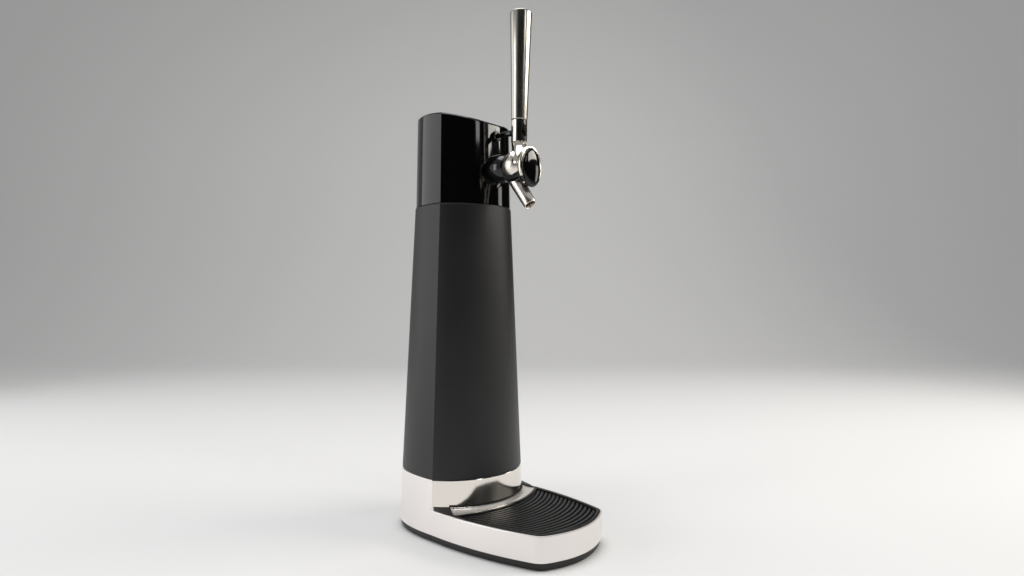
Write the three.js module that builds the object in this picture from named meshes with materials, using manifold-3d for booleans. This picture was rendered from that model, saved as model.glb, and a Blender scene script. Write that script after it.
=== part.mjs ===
// A countertop draft beer dispenser: a tower that lifts off its base to take a bottle, a tap with a tall
// handle, a pump and its batteries under the cap, and a drip tray in front. Millimetres, +Z up, front at -Y.
import * as THREE from "three";
import { mergeVertices } from "three/addons/utils/BufferGeometryUtils.js";
import Module from "manifold-3d";

const wasm = await Module();
wasm.setup();

// Clearances and cutting
const seatGap = 0.3; // between two pieces that touch
const looseGap = 0.4; // round a piece that lifts or pulls out
const overrun = 2; // how far a cutter runs past the faces that it cuts

// The tower's plan at the split between base and body: a shallow front arc and a deep rounded back,
// which meet in an upright crease on each side
const towerHalfWidth = 61;
const frontBulge = 35.7;
const backDepth = 78.6;
const creaseSetback = 14.3;
const backRoundness = 2.74;
const frontSegments = 20;
const backSegments = 30;

// Heights of the splits, and how the plan shrinks with height
const footHeight = 7.3;
const shroudTop = 58.2;
const bodyTop = 322.7;
const bodyTopShare = 0.808;
const capBottomShare = 0.787;
const capTopShare = 0.765;
const capRise = 9.9; // how much higher the cap's crest is than its front
const capCrestY = 20; // behind the tower's axis, from where the top is level
const capRimBevel = 1.4;
const tapRise = 35.6; // from the body's top up to the tap's axis
const capOverTap = 56.2; // from the tap's axis up to the cap's crest
const tapHeight = bodyTop + tapRise;
const capHeight = tapRise + capOverTap;

// How far the outline reaches from the tower's axis, at the base's split and in the cap
const bodyFront = creaseSetback + frontBulge;
const bodyBack = backDepth - creaseSetback;
const capFront = bodyFront * capTopShare;
const capBack = bodyBack * capTopShare;

// Walls
const bodyWall = 2.2;
const capWall = 2.5;
const shroudWall = 1.6;
const coreWall = 3.6;

// The base's tray end
const trayReach = 133.8; // from the tower's axis to the front corners
const trayHalfWidth = 46.9;
const traySideBulge = 5.4;
const trayFrontBulge = 14.4;
const trayCornerRadius = 7;
const trayRunIn = 12; // how far its sides run on inside the tower, behind the crease
const trayRunInShare = 0.985;
const trayRimHeight = 30.3;
const traySegments = 12;
const cornerSegments = 5;

// The polished cove between the tower's foot and the drip grille
const coveTop = 35.6;
const coveReach = 57.5; // from the tower's axis to the cove's outer edge at the middle
const coveRadius = 150;
const coveDepth = 4.6;
const coveSegments = 24;

// Plinth, core floor and what stands on them
const footTaper = 3.4;
const footClearance = 0.9; // how far the rubber feet stand below the plinth
const plinthFloor = 3;
const coreFloorTop = 12;
const spigotHeight = 9;
const spigotGap = 1.8; // between the body's wall and the spigot, filled by the gasket
const gasketHeight = 4;
const seatPadRadius = 41;
const seatPadThickness = 2;
const seatPadY = 6;

// Small fasteners
const screwShankRadius = 1.5;
const screwHeadRadius = 2.9;
const screwHeadHeight = 2;
const screwHoleRadius = 1.8;
const screwPillarRadius = 3.6;
const roundSides = 20;
const smallSides = 12;
const hoseSides = 8;
const hoseSteps = 12;

// Drip pan and grille
const panWall = 1.6;
const panTop = 24.6;
const grilleRimWidth = 2.6;
const grilleRimStand = 0.6; // how far the grille's rim stands above the shroud's
const ribPitch = 3.6;
const ribWidth = 1.9;
const ribHeight = 2.2;
const ribDrop = 1.4; // from the grille's rim down to the ribs
const ribSegments = 6;
const crossBarX = 20;
const crossBarWidth = 2;

// Feet and screws under the base
const footRadius = 7;
const footRecess = 1.5;
const footSideInset = 27;
const footBackInset = 22.3;
const footTrayInset = 17;
const footFrontInset = 15.8;
const plinthRim = 8;
const baseScrewSideInset = 25;
const baseScrewBackInset = 42.3;
const baseScrewFrontSideInset = 33;
const baseScrewFrontInset = 24;
const baseScrewReach = 10.4; // height of the screws' points

// Bulkhead between the bottle chamber and the cap
const lipThickness = 3;
const lipWidth = 10;
const sealThickness = 1;
const sealWidth = 6;
const plateThickness = 2.5;
const capScrewInset = 3; // from the cap's inner face, so that its bosses merge with the wall
const capScrewBackShare = 0.3; // of the way round the cap's back
const capBossHeight = 18;
const capScrewLength = 14;

// Fascia of the tap
const fasciaOpeningHalf = 17.7;
const fasciaRaisedHalf = 14.9;
const fasciaGroove = 1.7;
const fasciaDepth = 6.75;
const fasciaRecessDepth = 4;
const fasciaBack = capFront - fasciaDepth;
const fasciaRecessBack = fasciaBack + fasciaRecessDepth;
const fasciaRib = 2;
const fasciaSides = 28;
const fasciaTopWall = 4;

// Tap: the collar stands in front of the cap and seats the ball, whose shank runs back through both
const ballStand = 29.25; // from the cap's front to the ball's centre
const tapReach = capFront + ballStand;
const ballRadius = 14.4;
const ballSides = 36;
const collarRootRadius = 11.4;
const collarRadius = 14.2;
const collarFaceRadius = 10.2;
const collarStand = 17.25;
const collarSunk = 4.25;
const collarFront = capFront + collarStand;
const collarStart = capFront - collarSunk;
const shankRadius = 7.5;
const shankNutRadius = 12;
const shankNutThickness = 6;
const shankNutFront = fasciaRecessBack - seatGap;
const shankNutBack = shankNutFront - shankNutThickness;
const channelRadius = 2.2;
const barbRadius = 3.4;
const barbLength = 6;
const transducerRadius = 11;
const transducerThickness = 3;
const shankEnd = shankNutBack - transducerThickness - seatGap;
const barbEnd = shankEnd - barbLength;

// Spout: a tapered tube that leaves the ball's underside, tilted towards the glass
const spoutTilt = 36.2;
const spoutRootY = 9.8; // where the spout's line leaves the shank's, behind the ball's centre
const spoutStart = 10;
const spoutLength = 48.3;
const spoutTopRadius = 7.1;
const spoutEndRadius = 6.2;
const spoutBoreRadius = 4.7;
const spoutStubRadius = 5.4;
const spoutStubEnd = 24;

// Lever: an oval bezel that hinges under the ball, a hood over the ball and a neck for the handle
const hingePinY = -16.2;
const hingePinZ = -18.4;
const hingePinRadius = 1.1;
const hingePinReach = 8.8;
const knuckleRadius = 2.4;
const knuckleHalf = 4.2;
const armFront = -14.2;
const armBack = -8;
const armTop = -9;
const leverBackSwing = 4; // degrees of free room behind the lever, over its back stop
const ballGap = 0.5;
const bezelHalfWidth = 16;
const bezelHalfHeight = 20;
const bezelCentreZ = -2.6;
const bezelFront = -19.3;
const bezelBack = -11;
const bezelEdge = 1.3;
const bezelSegments = 44;
const insertHalfWidth = 12;
const insertHalfHeight = 18.4;
const insertCentreZ = -4;
const insertPocket = 1.4;
const insertDome = 2.2;
// the hood's level sections: height, place of the middle, half width and half depth
const hoodSections = [
  [-11, -13.5, 11.5, 4.6],
  [-8, -11.2, 13.2, 7.2],
  [-4, -9.2, 14.2, 9.8],
  [1, -8.3, 14.4, 10.6],
  [6, -7.6, 13.2, 10.3],
  [10, -6.6, 11.4, 9.7],
  [14, -4.9, 9.2, 8.6],
  [18, -3, 7.6, 7.5],
];
const neckTop = 21.8;
const neckY = -1.9;
const neckRadius = 6.95;
const neckSpigotRadius = 3;
const neckSpigotHeight = 2.6;
const notchTop = -15.4;
const notchBack = -13.2;

// Ferrule and handle, which lean a little forwards
const handleLean = 1.45;
const ferruleHeight = 21.9;
const rodHoleHeight = 11.4;
const rodHoleHalfWidth = 3.6;
const rodHoleHalfHeight = 5.2;
const rodSlotHalfWidth = 2.5;
const rodSlotUp = 4.1;
const rodSlotDown = 5.8;
const rodHoleDrop = 0.4;
const rodHoleDepth = 2.9; // behind the ferrule's axis
const handleLength = 105;
const handleBottomRadius = 7.45;
const handleTopRadius = 10.8;
const handleDome = 1;
const handleEdge = 1.2;
const studRadius = 3;
const studInFerrule = 5;
const studInHandle = 14;

// Push rod from the ferrule to the switches
const rodHeight = 33.2;
const rodRadius = 2.1;
const rodHeadRadius = 3.1;
const rodHeadStand = 2.7; // of the rod's head in front of the ball's centre
const rodHeadY = tapReach + rodHeadStand;
const bushingRadius = 5;
const bushingStand = 4.8;
const bushingFront = capFront + bushingStand;
const bushingBack = fasciaBack + seatGap;
const camSetback = 19.6; // from the cap's front back to the cam
const camFront = capFront - camSetback;
const camThickness = 2;
const rodTail = 1;
const rodEnd = camFront - camThickness - rodTail;
const camHalfWidth = 2.5;
const camFoot = 2;
const camTop = 9.4;

// Circuit board, its bracket and the two switches
const boardX = 6.5;
const boardThickness = 1.6;
const boardFrontInset = 4.8;
const boardLength = 45.5;
const boardFront = boardFrontInset - capFront;
const boardBack = boardFront + boardLength;
const boardOverTap = 15.7;
const boardHeight = 26.5;
const boardBottom = tapHeight + boardOverTap;
const boardTop = boardBottom + boardHeight;
const bracketThickness = 2.6;
const bracketWidth = 7;
const bracketBack = boardBack - seatGap;
const bracketFront = bracketBack - bracketWidth;
const switchHalfWidth = 3.5;
const switchDepth = 3.4;
const switchHeight = 4.6;
const switchOverRod = 5.4;
const switchBottom = tapHeight + rodHeight + switchOverRod;
const switchTop = switchBottom + switchHeight;
const switchNubRadius = 1;
const switchNubHeight = (switchBottom + switchTop) / 2;
const pourTravel = 11.2; // from the cam's rest to each switch
const foamTravel = 3.5;
const pourNubY = -(camFront + pourTravel);
const foamNubY = -(camFront - camThickness - foamTravel);
const switchNubLength = 1.5;

// Pump
const pumpHalf = 11.4;
const pumpSideGap = 6.3; // from the cap's inner face
const pumpX = -(towerHalfWidth * capTopShare - capWall - pumpSideGap - pumpHalf);
const pumpY = 1;
const pumpHeadHeight = 17;
const pumpFloor = 5;
const pumpCavityRadius = 7;
const motorRadius = 10.5;
const motorHeight = 28;
const crankRadius = 5;
const crankOffset = 1.4;
const crankThickness = 4;
const crankLift = 3;
const crankShaftRadius = 1.2;
const crankShaftInMotor = 8;
const pumpOutletHeight = 8;
const pumpOutletLength = 4;
const airBarbRadius = 1.7;
const airBoreRadius = 0.9;

// Tubes and their fittings in the bulkhead
const glandY = 5;
const glandFlangeRadius = 6;
const glandFlangeHeight = 4;
const glandShankRadius = 4.3;
const glandShankDrop = 8;
const glandTopHeight = 9;
const glandBoreRadius = 2.2;
const dipTubeRadius = 3.2;
const dipTubeBoreRadius = 1.9;
const dipTubeEnd = 24;
const beerHoseRadius = 3.6;
const airFittingX = -5;
const airFittingY = -21;
const airFittingRadius = 4;
const airFittingHeight = 3;
const airFittingTop = 6;
const airShankRadius = 2.4;
const airShankDrop = 5;
const airHoseRadius = 2.2;

// Batteries behind their door
const plateBottom = bodyTop + 2 * seatGap + sealThickness;
const plateTop = plateBottom + plateThickness;
const doorHalfWidth = 20;
const doorSill = 7.2; // above the bulkhead
const doorHeight = 62;
const doorBottom = plateTop + doorSill;
const doorTop = doorBottom + doorHeight;
const doorDepth = 4.5;
const doorPull = 1.2;
const doorPullHalf = 7;
const doorPullHeight = 5;
const holderHalfWidth = 17;
const holderWall = 2;
const cellRadius = 7.25;
const cellLength = 50.5;
const cellSpacing = 15.6;
const cellSill = 13; // above the bulkhead
const holderBack = capBack - doorDepth - seatGap;
const cellY = holderBack - cellRadius - seatGap;
const holderFront = cellY - cellRadius - seatGap - holderWall;
const cellBottom = plateTop + cellSill;
const holderTop = doorTop - seatGap;
const contactThickness = 0.6;
const contactHalfWidth = 14;
const contactHalfDepth = 5;
const cellNubRadius = 2.7;
const cellNubHeight = 1;

// Power inlet at the back, under the battery door
const inletHalfWidth = 4;
const inletHeight = 3;
const inletDepth = 7;
const inletWall = 0.6;

// Wraps a closed geometry as a solid that can be joined and cut
function solid(geometry) {
  const bare = geometry.clone();
  bare.deleteAttribute("normal");
  bare.deleteAttribute("uv");
  const merged = mergeVertices(bare, 1e-4);
  const triVerts = new Uint32Array(merged.index.array);
  const vertProperties = new Float32Array(merged.attributes.position.array);
  const made = new wasm.Manifold(new wasm.Mesh({ numProp: 3, vertProperties, triVerts }));
  if (made.volume() > 0) return made;
  for (let i = 0; i < triVerts.length; i += 3) {
    [triVerts[i + 1], triVerts[i + 2]] = [triVerts[i + 2], triVerts[i + 1]];
  }
  return new wasm.Manifold(new wasm.Mesh({ numProp: 3, vertProperties, triVerts }));
}

// Turns a solid back into a flat-shaded geometry
function geometryOf(made) {
  const mesh = made.getMesh();
  const positions = new Float32Array(mesh.numVert * 3);
  for (let i = 0; i < mesh.numVert; i++) {
    positions.set(mesh.vertProperties.subarray(i * mesh.numProp, i * mesh.numProp + 3), i * 3);
  }
  const geometry = new THREE.BufferGeometry();
  geometry.setAttribute("position", new THREE.BufferAttribute(positions, 3));
  geometry.setIndex(new THREE.BufferAttribute(new Uint32Array(mesh.triVerts), 1));
  const flat = geometry.toNonIndexed();
  flat.computeVertexNormals();
  return flat;
}

// Basic solids, each given by where it starts and ends
function box(x0, x1, y0, y1, z0, z1) {
  const geometry = new THREE.BoxGeometry(x1 - x0, y1 - y0, z1 - z0);
  return solid(geometry.translate((x0 + x1) / 2, (y0 + y1) / 2, (z0 + z1) / 2));
}

function roundZ(radius, z0, z1, x = 0, y = 0, sides = roundSides) {
  const geometry = new THREE.CylinderGeometry(radius, radius, z1 - z0, sides);
  return solid(geometry.rotateX(Math.PI / 2).translate(x, y, (z0 + z1) / 2));
}

function roundY(radius, y0, y1, x, z, sides = roundSides) {
  const geometry = new THREE.CylinderGeometry(radius, radius, y1 - y0, sides);
  return solid(geometry.translate(x, (y0 + y1) / 2, z));
}

function roundX(radius, x0, x1, y, z, sides = roundSides) {
  const geometry = new THREE.CylinderGeometry(radius, radius, x1 - x0, sides);
  return solid(geometry.rotateZ(Math.PI / 2).translate((x0 + x1) / 2, y, z));
}

// A turned solid about the Z axis, from [radius, height] pairs
function turned(profile, sides = roundSides) {
  const points = profile.map(([radius, height]) => new THREE.Vector2(radius, height));
  return solid(new THREE.LatheGeometry(points, sides).rotateX(Math.PI / 2));
}

// A prism of a plan outline between two heights
function prism(outline, z0, z1) {
  const shape = new THREE.Shape(outline);
  const geometry = new THREE.ExtrudeGeometry(shape, { depth: z1 - z0, bevelEnabled: false });
  return solid(geometry.translate(0, 0, z0));
}

// A prism of an outline drawn in the upright Y-Z plane, between two places along X
function prismX(outline, x0, x1) {
  const shape = new THREE.Shape(outline.map(([y, z]) => new THREE.Vector2(y, z)));
  const geometry = new THREE.ExtrudeGeometry(shape, { depth: x1 - x0, bevelEnabled: false });
  const along = new THREE.Matrix4().makeBasis(
    new THREE.Vector3(0, 1, 0),
    new THREE.Vector3(0, 0, 1),
    new THREE.Vector3(1, 0, 0),
  );
  return solid(geometry.applyMatrix4(along).translate(x0, 0, 0));
}

// A prism of an outline drawn in the upright X-Z plane, between two places along Y
function prismY(outline, y0, y1) {
  const shape = new THREE.Shape(outline);
  const geometry = new THREE.ExtrudeGeometry(shape, { depth: y1 - y0, bevelEnabled: false });
  return solid(geometry.rotateX(Math.PI / 2).translate(0, y1, 0));
}

// A tube or rod of a round section along a curve
function tube(points, radius, steps, sides) {
  const curve = new THREE.CatmullRomCurve3(points.map((p) => new THREE.Vector3(...p)));
  const section = new THREE.Shape(
    Array.from({ length: sides }, (_, i) => {
      const turn = (i / sides) * 2 * Math.PI;
      return new THREE.Vector2(radius * Math.cos(turn), radius * Math.sin(turn));
    }),
  );
  return solid(new THREE.ExtrudeGeometry(section, { steps, extrudePath: curve, bevelEnabled: false }));
}

// A skin through rings of points, lowest first, closed by flat ends; a crowned top is closed by strips
// that run from side to side of the tower's plan
function loft(rings, crowned = false) {
  const count = rings[0].length;
  const positions = rings.flat(2);
  const faces = [];
  for (let r = 0; r + 1 < rings.length; r++) {
    for (let i = 0; i < count; i++) {
      const a = r * count + i;
      const b = r * count + ((i + 1) % count);
      faces.push(a, b, b + count, a, b + count, a + count);
    }
  }
  const cap = (ring, base, flip) => {
    const plan = ring.map(([x, y]) => new THREE.Vector2(x, y));
    for (const [a, b, c] of THREE.ShapeUtils.triangulateShape(plan, [])) {
      faces.push(base + a, base + (flip ? c : b), base + (flip ? b : c));
    }
  };
  const strips = (base) => {
    const opposite = (k) => base + ((frontSegments - k + count) % count);
    for (let k = frontSegments / 2; k > (frontSegments - count) / 2; k--) {
      const near = base + ((k + count) % count);
      const far = base + ((k - 1 + count) % count);
      if (near !== opposite(k)) faces.push(near, opposite(k), opposite(k - 1));
      if (far !== opposite(k - 1)) faces.push(near, opposite(k - 1), far);
    }
  };
  const top = (rings.length - 1) * count;
  cap(rings[0], 0, true);
  if (crowned) strips(top);
  else cap(rings[rings.length - 1], top, false);
  const geometry = new THREE.BufferGeometry();
  geometry.setAttribute("position", new THREE.BufferAttribute(new Float32Array(positions), 3));
  geometry.setIndex(faces);
  return solid(geometry);
}

// Moves an outline inwards by the same amount all round, corners mitred
function inset(outline, amount) {
  const count = outline.length;
  return outline.map((point, i) => {
    const before = outline[(i + count - 1) % count];
    const after = outline[(i + 1) % count];
    const inward = (a, b) => new THREE.Vector2(-(b.y - a.y), b.x - a.x).normalize();
    const first = inward(before, point);
    const second = inward(point, after);
    const middle = first.clone().add(second);
    return point.clone().addScaledVector(middle, (2 * amount) / middle.lengthSq());
  });
}

// The tower's plan, anticlockwise from above, scaled by a share of its size at the base split
function towerPlan(share, margin = 0) {
  const half = towerHalfWidth;
  const radius = (half * half + frontBulge * frontBulge) / (2 * frontBulge);
  const span = Math.asin(half / radius);
  const outline = [];
  for (let i = 0; i < frontSegments; i++) {
    const turn = -span + (2 * span * i) / frontSegments;
    const y = radius - frontBulge - radius * Math.cos(turn);
    outline.push(new THREE.Vector2(radius * Math.sin(turn), y - creaseSetback));
  }
  for (let i = 0; i < backSegments; i++) {
    const turn = (Math.PI * i) / backSegments;
    const power = 2 / backRoundness;
    const x = half * Math.sign(Math.cos(turn)) * Math.abs(Math.cos(turn)) ** power;
    const y = backDepth * Math.sin(turn) ** power;
    outline.push(new THREE.Vector2(x, y - creaseSetback));
  }
  const scaled = outline.map((point) => point.multiplyScalar(share));
  return margin ? inset(scaled, margin) : scaled;
}

// The share of the plan at a height of the straight taper of base and body
function shareAt(height) {
  return 1 - ((1 - bodyTopShare) * (height - shroudTop)) / (bodyTop - shroudTop);
}

function ringAt(height, margin = 0) {
  return towerPlan(shareAt(height), margin).map((p) => [p.x, p.y, height]);
}

// A solid block of the tower between two heights, its sides moved inwards by a margin
function towerBlock(z0, z1, margin) {
  return loft([ringAt(z0, margin), ringAt(z1, margin)]);
}

// The base's plan in front of the tower, anticlockwise, its back edge hidden in the tower
function trayPlan(height, margin = 0) {
  const half = towerHalfWidth * shareAt(height);
  const crease = -creaseSetback * shareAt(height);
  const corner = new THREE.Vector2(trayHalfWidth, -trayReach);
  const side = (from, to, bulge, steps) => {
    const along = to.clone().sub(from);
    const out = new THREE.Vector2(along.y, -along.x).normalize();
    const points = [];
    for (let i = 0; i <= steps; i++) {
      const t = i / steps;
      points.push(from.clone().addScaledVector(along, t).addScaledVector(out, 4 * bulge * t * (1 - t)));
    }
    return points;
  };
  const mirrored = (point) => new THREE.Vector2(-point.x, point.y);
  const creasePoint = new THREE.Vector2(half, crease);
  const runIn = new THREE.Vector2(-half * trayRunInShare, crease + trayRunIn);
  const left = [runIn, ...side(mirrored(creasePoint), mirrored(corner), traySideBulge, traySegments)];
  const front = side(mirrored(corner), corner, trayFrontBulge, traySegments * 2);
  const outline = roundCorner(left, front);
  const middle = outline.filter((point) => point.x <= 0);
  const rightHalf = middle.filter((point) => point.x < 0).map(mirrored).reverse();
  const plan = [...middle, ...rightHalf];
  return margin ? inset(plan, margin) : plan;
}

// Joins two runs of points that meet in a corner by a curve that starts a corner radius before it
function roundCorner(first, second) {
  const corner = second[0];
  const near = (point) => point.distanceTo(corner) < trayCornerRadius;
  const before = first.filter((point) => !near(point));
  const after = second.filter((point) => !near(point));
  const towards = (point) => {
    const away = point.clone().sub(corner).normalize();
    return corner.clone().addScaledVector(away, trayCornerRadius);
  };
  const start = towards(before[before.length - 1]);
  const end = towards(after[0]);
  const curve = new THREE.QuadraticBezierCurve(start, corner.clone(), end);
  return [...before, ...curve.getPoints(cornerSegments), ...after];
}

function trayRing(height, margin = 0) {
  return trayPlan(height, margin).map((p) => [p.x, p.y, height]);
}

function trayBlock(z0, z1, margin) {
  return loft([trayRing(z0, margin), trayRing(z1, margin)]);
}

// A straight-sided block of the tray's plan at its rim, for what lifts out of it
function trayColumn(z0, z1, margin) {
  return prism(trayPlan(trayRimHeight, margin), z0, z1);
}

// Materials, in the colours of the real finishes
const finish = {
  body: new THREE.MeshStandardMaterial({ color: 0x242424, roughness: 0.6, metalness: 0 }),
  gloss: new THREE.MeshStandardMaterial({ color: 0x0b0b0c, roughness: 0.12, metalness: 0 }),
  silver: new THREE.MeshStandardMaterial({ color: 0xdcd6d0, roughness: 0.3, metalness: 0.9 }),
  chrome: new THREE.MeshStandardMaterial({ color: 0xe6e4e0, roughness: 0.08, metalness: 1 }),
  steel: new THREE.MeshStandardMaterial({ color: 0xb9b6ae, roughness: 0.32, metalness: 1 }),
  black: new THREE.MeshStandardMaterial({ color: 0x161616, roughness: 0.5, metalness: 0 }),
  rubber: new THREE.MeshStandardMaterial({ color: 0x101010, roughness: 0.85, metalness: 0 }),
  silicone: new THREE.MeshStandardMaterial({ color: 0xd8dadb, roughness: 0.4, metalness: 0 }),
  board: new THREE.MeshStandardMaterial({ color: 0x1d5a34, roughness: 0.5, metalness: 0 }),
  cell: new THREE.MeshStandardMaterial({ color: 0x8f9296, roughness: 0.35, metalness: 0.7 }),
  brass: new THREE.MeshStandardMaterial({ color: 0xb08d4a, roughness: 0.35, metalness: 1 }),
};

const baseGroup = new THREE.Group();
const towerGroup = new THREE.Group();
const tapGroup = new THREE.Group();
const leverGroup = new THREE.Group();

function piece(group, name, made, material) {
  const mesh = new THREE.Mesh(geometryOf(made), material);
  mesh.name = name;
  group.add(mesh);
  return mesh;
}

// The silver shroud: one pressed skin round the foot of the tower and the tray end
function baseShroud() {
  const outer = towerBlock(footHeight, shroudTop, 0).add(trayBlock(footHeight, trayRimHeight, 0));
  const towerHollow = towerBlock(footHeight - overrun, shroudTop + overrun, shroudWall);
  const trayHollow = trayBlock(footHeight - overrun, trayRimHeight + overrun, shroudWall)
    .subtract(towerBlock(footHeight - 2 * overrun, shroudTop, 0));
  return outer.subtract(towerHollow).subtract(trayHollow).add(cove());
}

// The cove: a hollow-topped ledge from the tower's front wall out to the grille's back edge
function cove() {
  const arcRadius = (towerHalfWidth ** 2 + frontBulge ** 2) / (2 * frontBulge);
  const share = shareAt(coveTop);
  const span = Math.asin(towerHalfWidth / arcRadius);
  const wallDepth = shroudWall / 2;
  const section = (i) => {
    const turn = -span + (2 * span * i) / coveSegments;
    const inX = (arcRadius * share - wallDepth) * Math.sin(turn);
    const centreY = (arcRadius - frontBulge - creaseSetback) * share;
    const inY = centreY - (arcRadius * share - wallDepth) * Math.cos(turn);
    const outX = inX * (1 + wallDepth / arcRadius);
    const outY = coveRadius - coveReach - Math.sqrt(coveRadius ** 2 - outX ** 2);
    const at = (t, z) => [inX + (outX - inX) * t, inY + (outY - inY) * t, z];
    const hollow = coveTop - trayRimHeight;
    return [
      at(0, trayRimHeight - coveDepth),
      at(1, trayRimHeight - coveDepth),
      at(1, trayRimHeight - seatGap),
      at(3 / 4, trayRimHeight + hollow / 16),
      at(1 / 2, trayRimHeight + hollow / 4),
      at(1 / 4, trayRimHeight + (hollow * 9) / 16),
      at(0, coveTop),
    ];
  };
  const sections = Array.from({ length: coveSegments + 1 }, (_, i) => section(i));
  const within = trayBlock(trayRimHeight - coveDepth - overrun, coveTop + overrun, shroudWall / 2);
  return sweep(sections).intersect(within);
}

// A skin through upright sections that stand side by side, closed by their own first and last faces
function sweep(sections) {
  const count = sections[0].length;
  const faces = [];
  for (let r = 0; r + 1 < sections.length; r++) {
    for (let i = 0; i < count; i++) {
      const a = r * count + i;
      const b = r * count + ((i + 1) % count);
      faces.push(a, b, b + count, a, b + count, a + count);
    }
  }
  const last = (sections.length - 1) * count;
  for (let i = 1; i + 1 < count; i++) {
    faces.push(0, i + 1, i, last, last + i, last + i + 1);
  }
  const geometry = new THREE.BufferGeometry();
  geometry.setAttribute("position", new THREE.BufferAttribute(new Float32Array(sections.flat(2)), 3));
  geometry.setIndex(faces);
  return solid(geometry);
}

// Everything in front of the cove's edge belongs to the grille and pan; this disc is what stays behind it
function behindCove(margin, z0, z1) {
  return roundZ(coveRadius + margin, z0, z1, 0, coveRadius - coveReach, coveSegments * 4);
}

// The plinth: a black pan whose sides draw in towards the table, with recesses for the feet
function basePlinth() {
  const low = footClearance;
  const high = footHeight - seatGap;
  const rim = footTaper / 3;
  const body = loft([ringAt(low, footTaper), ringAt(high, rim)])
    .add(loft([trayRing(low, footTaper), trayRing(high, rim)]));
  const hollow = towerBlock(low + plinthFloor, high + overrun, plinthRim)
    .add(trayBlock(low + plinthFloor, high + overrun, plinthRim));
  let made = body.subtract(hollow);
  for (const [x, y] of baseScrewPlaces()) {
    made = made.add(roundZ(screwPillarRadius, low + overrun / 2, high, x, y));
    made = made.subtract(roundZ(screwHoleRadius, low - overrun, high + overrun, x, y, smallSides));
    made = made.subtract(roundZ(screwHeadRadius + seatGap, low - overrun, screwSeat(), x, y, smallSides));
  }
  for (const [x, y] of footPlaces()) {
    made = made.subtract(roundZ(footRadius + seatGap, low - overrun, low + footRecess, x, y));
  }
  return made;
}

function screwSeat() {
  return footClearance + screwHeadHeight + seatGap;
}

function footPlaces() {
  return [
    [-(towerHalfWidth - footSideInset), bodyBack - footBackInset],
    [towerHalfWidth - footSideInset, bodyBack - footBackInset],
    [-(trayHalfWidth - footTrayInset), footFrontInset - trayReach],
    [trayHalfWidth - footTrayInset, footFrontInset - trayReach],
  ];
}

function baseScrewPlaces() {
  return [
    [-(towerHalfWidth - baseScrewSideInset), bodyBack - baseScrewBackInset],
    [towerHalfWidth - baseScrewSideInset, bodyBack - baseScrewBackInset],
    [-(towerHalfWidth - baseScrewFrontSideInset), baseScrewFrontInset - bodyFront],
    [towerHalfWidth - baseScrewFrontSideInset, baseScrewFrontInset - bodyFront],
  ];
}

// A pan-head screw that points up, from its head's underside seat to its point
function screwUp(x, y, seat, point) {
  return roundZ(screwHeadRadius, seat - seatGap - screwHeadHeight, seat - seatGap, x, y, smallSides)
    .add(roundZ(screwShankRadius, seat - seatGap - screwHeadHeight / 2, point, x, y, smallSides));
}

// The core: the chamber's floor, its wall inside the shroud and the spigot that the body slides over
function baseCore() {
  const outer = shroudWall + seatGap;
  const inner = outer + coreWall;
  const spigot = bodyWall + spigotGap;
  let made = towerBlock(footHeight, shroudTop, outer)
    .add(towerBlock(shroudTop - overrun, shroudTop + spigotHeight, spigot))
    .subtract(towerBlock(coreFloorTop, shroudTop + spigotHeight + overrun, inner));
  for (const [x, y] of baseScrewPlaces()) {
    const holeTop = baseScrewReach + seatGap;
    made = made.subtract(roundZ(screwHoleRadius, footHeight - overrun, holeTop, x, y, smallSides));
  }
  return made;
}

// The gasket lies round the spigot, on the core's shoulder
function baseGasket() {
  const low = shroudTop + seatGap;
  return towerBlock(low, low + gasketHeight, bodyWall + seatGap)
    .subtract(towerBlock(low - overrun, low + gasketHeight + overrun, bodyWall + spigotGap - seatGap));
}

// The bottle stands on a round pad with a raised rim
function bottleSeat() {
  const low = coreFloorTop + seatGap;
  const rim = seatPadThickness;
  return roundZ(seatPadRadius, low, low + 2 * rim, 0, seatPadY, roundSides * 2)
    .subtract(roundZ(seatPadRadius - rim, low + rim, low + 2 * rim + overrun, 0, seatPadY, roundSides * 2));
}

// The drip pan: a shallow dish under the grille
function dripPan() {
  const margin = shroudWall + looseGap;
  const behind = seatGap + looseGap;
  return trayColumn(footHeight, panTop, margin)
    .subtract(behindCove(behind, footHeight - overrun, panTop + overrun))
    .subtract(
      trayColumn(footHeight + panWall, panTop + overrun, margin + panWall)
        .subtract(behindCove(behind + panWall, footHeight, panTop + 2 * overrun)),
    );
}

// The grille: a raised rim round ribs that bow with the front edge, on two cross bars
function dripGrille() {
  const margin = shroudWall + looseGap;
  const top = trayRimHeight + grilleRimStand;
  const low = panTop + seatGap;
  const within = (extra) =>
    trayColumn(low, top, margin + extra).subtract(behindCove(looseGap + extra, low - overrun, top + overrun));
  const hole = trayColumn(low - overrun, top + overrun, margin + grilleRimWidth)
    .subtract(behindCove(looseGap + grilleRimWidth, low - 2 * overrun, top + 2 * overrun));
  const rim = within(0).subtract(hole);
  const ribTop = top - ribDrop;
  let ribs = null;
  const frontmost = -trayReach - trayFrontBulge + margin + grilleRimWidth;
  const last = -coveReach;
  for (let y = frontmost + ribPitch; y < last; y += ribPitch) {
    const rib = grilleRib(y, ribTop);
    ribs = ribs ? ribs.add(rib) : rib;
  }
  for (const x of [-crossBarX, crossBarX]) {
    const [left, right] = [x - crossBarWidth / 2, x + crossBarWidth / 2];
    ribs = ribs.add(box(left, right, -trayReach * 2, 0, low + ribWidth / 2, ribTop - ribHeight / 2));
  }
  return rim.add(ribs.intersect(within(grilleRimWidth / 2)));
}

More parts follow.
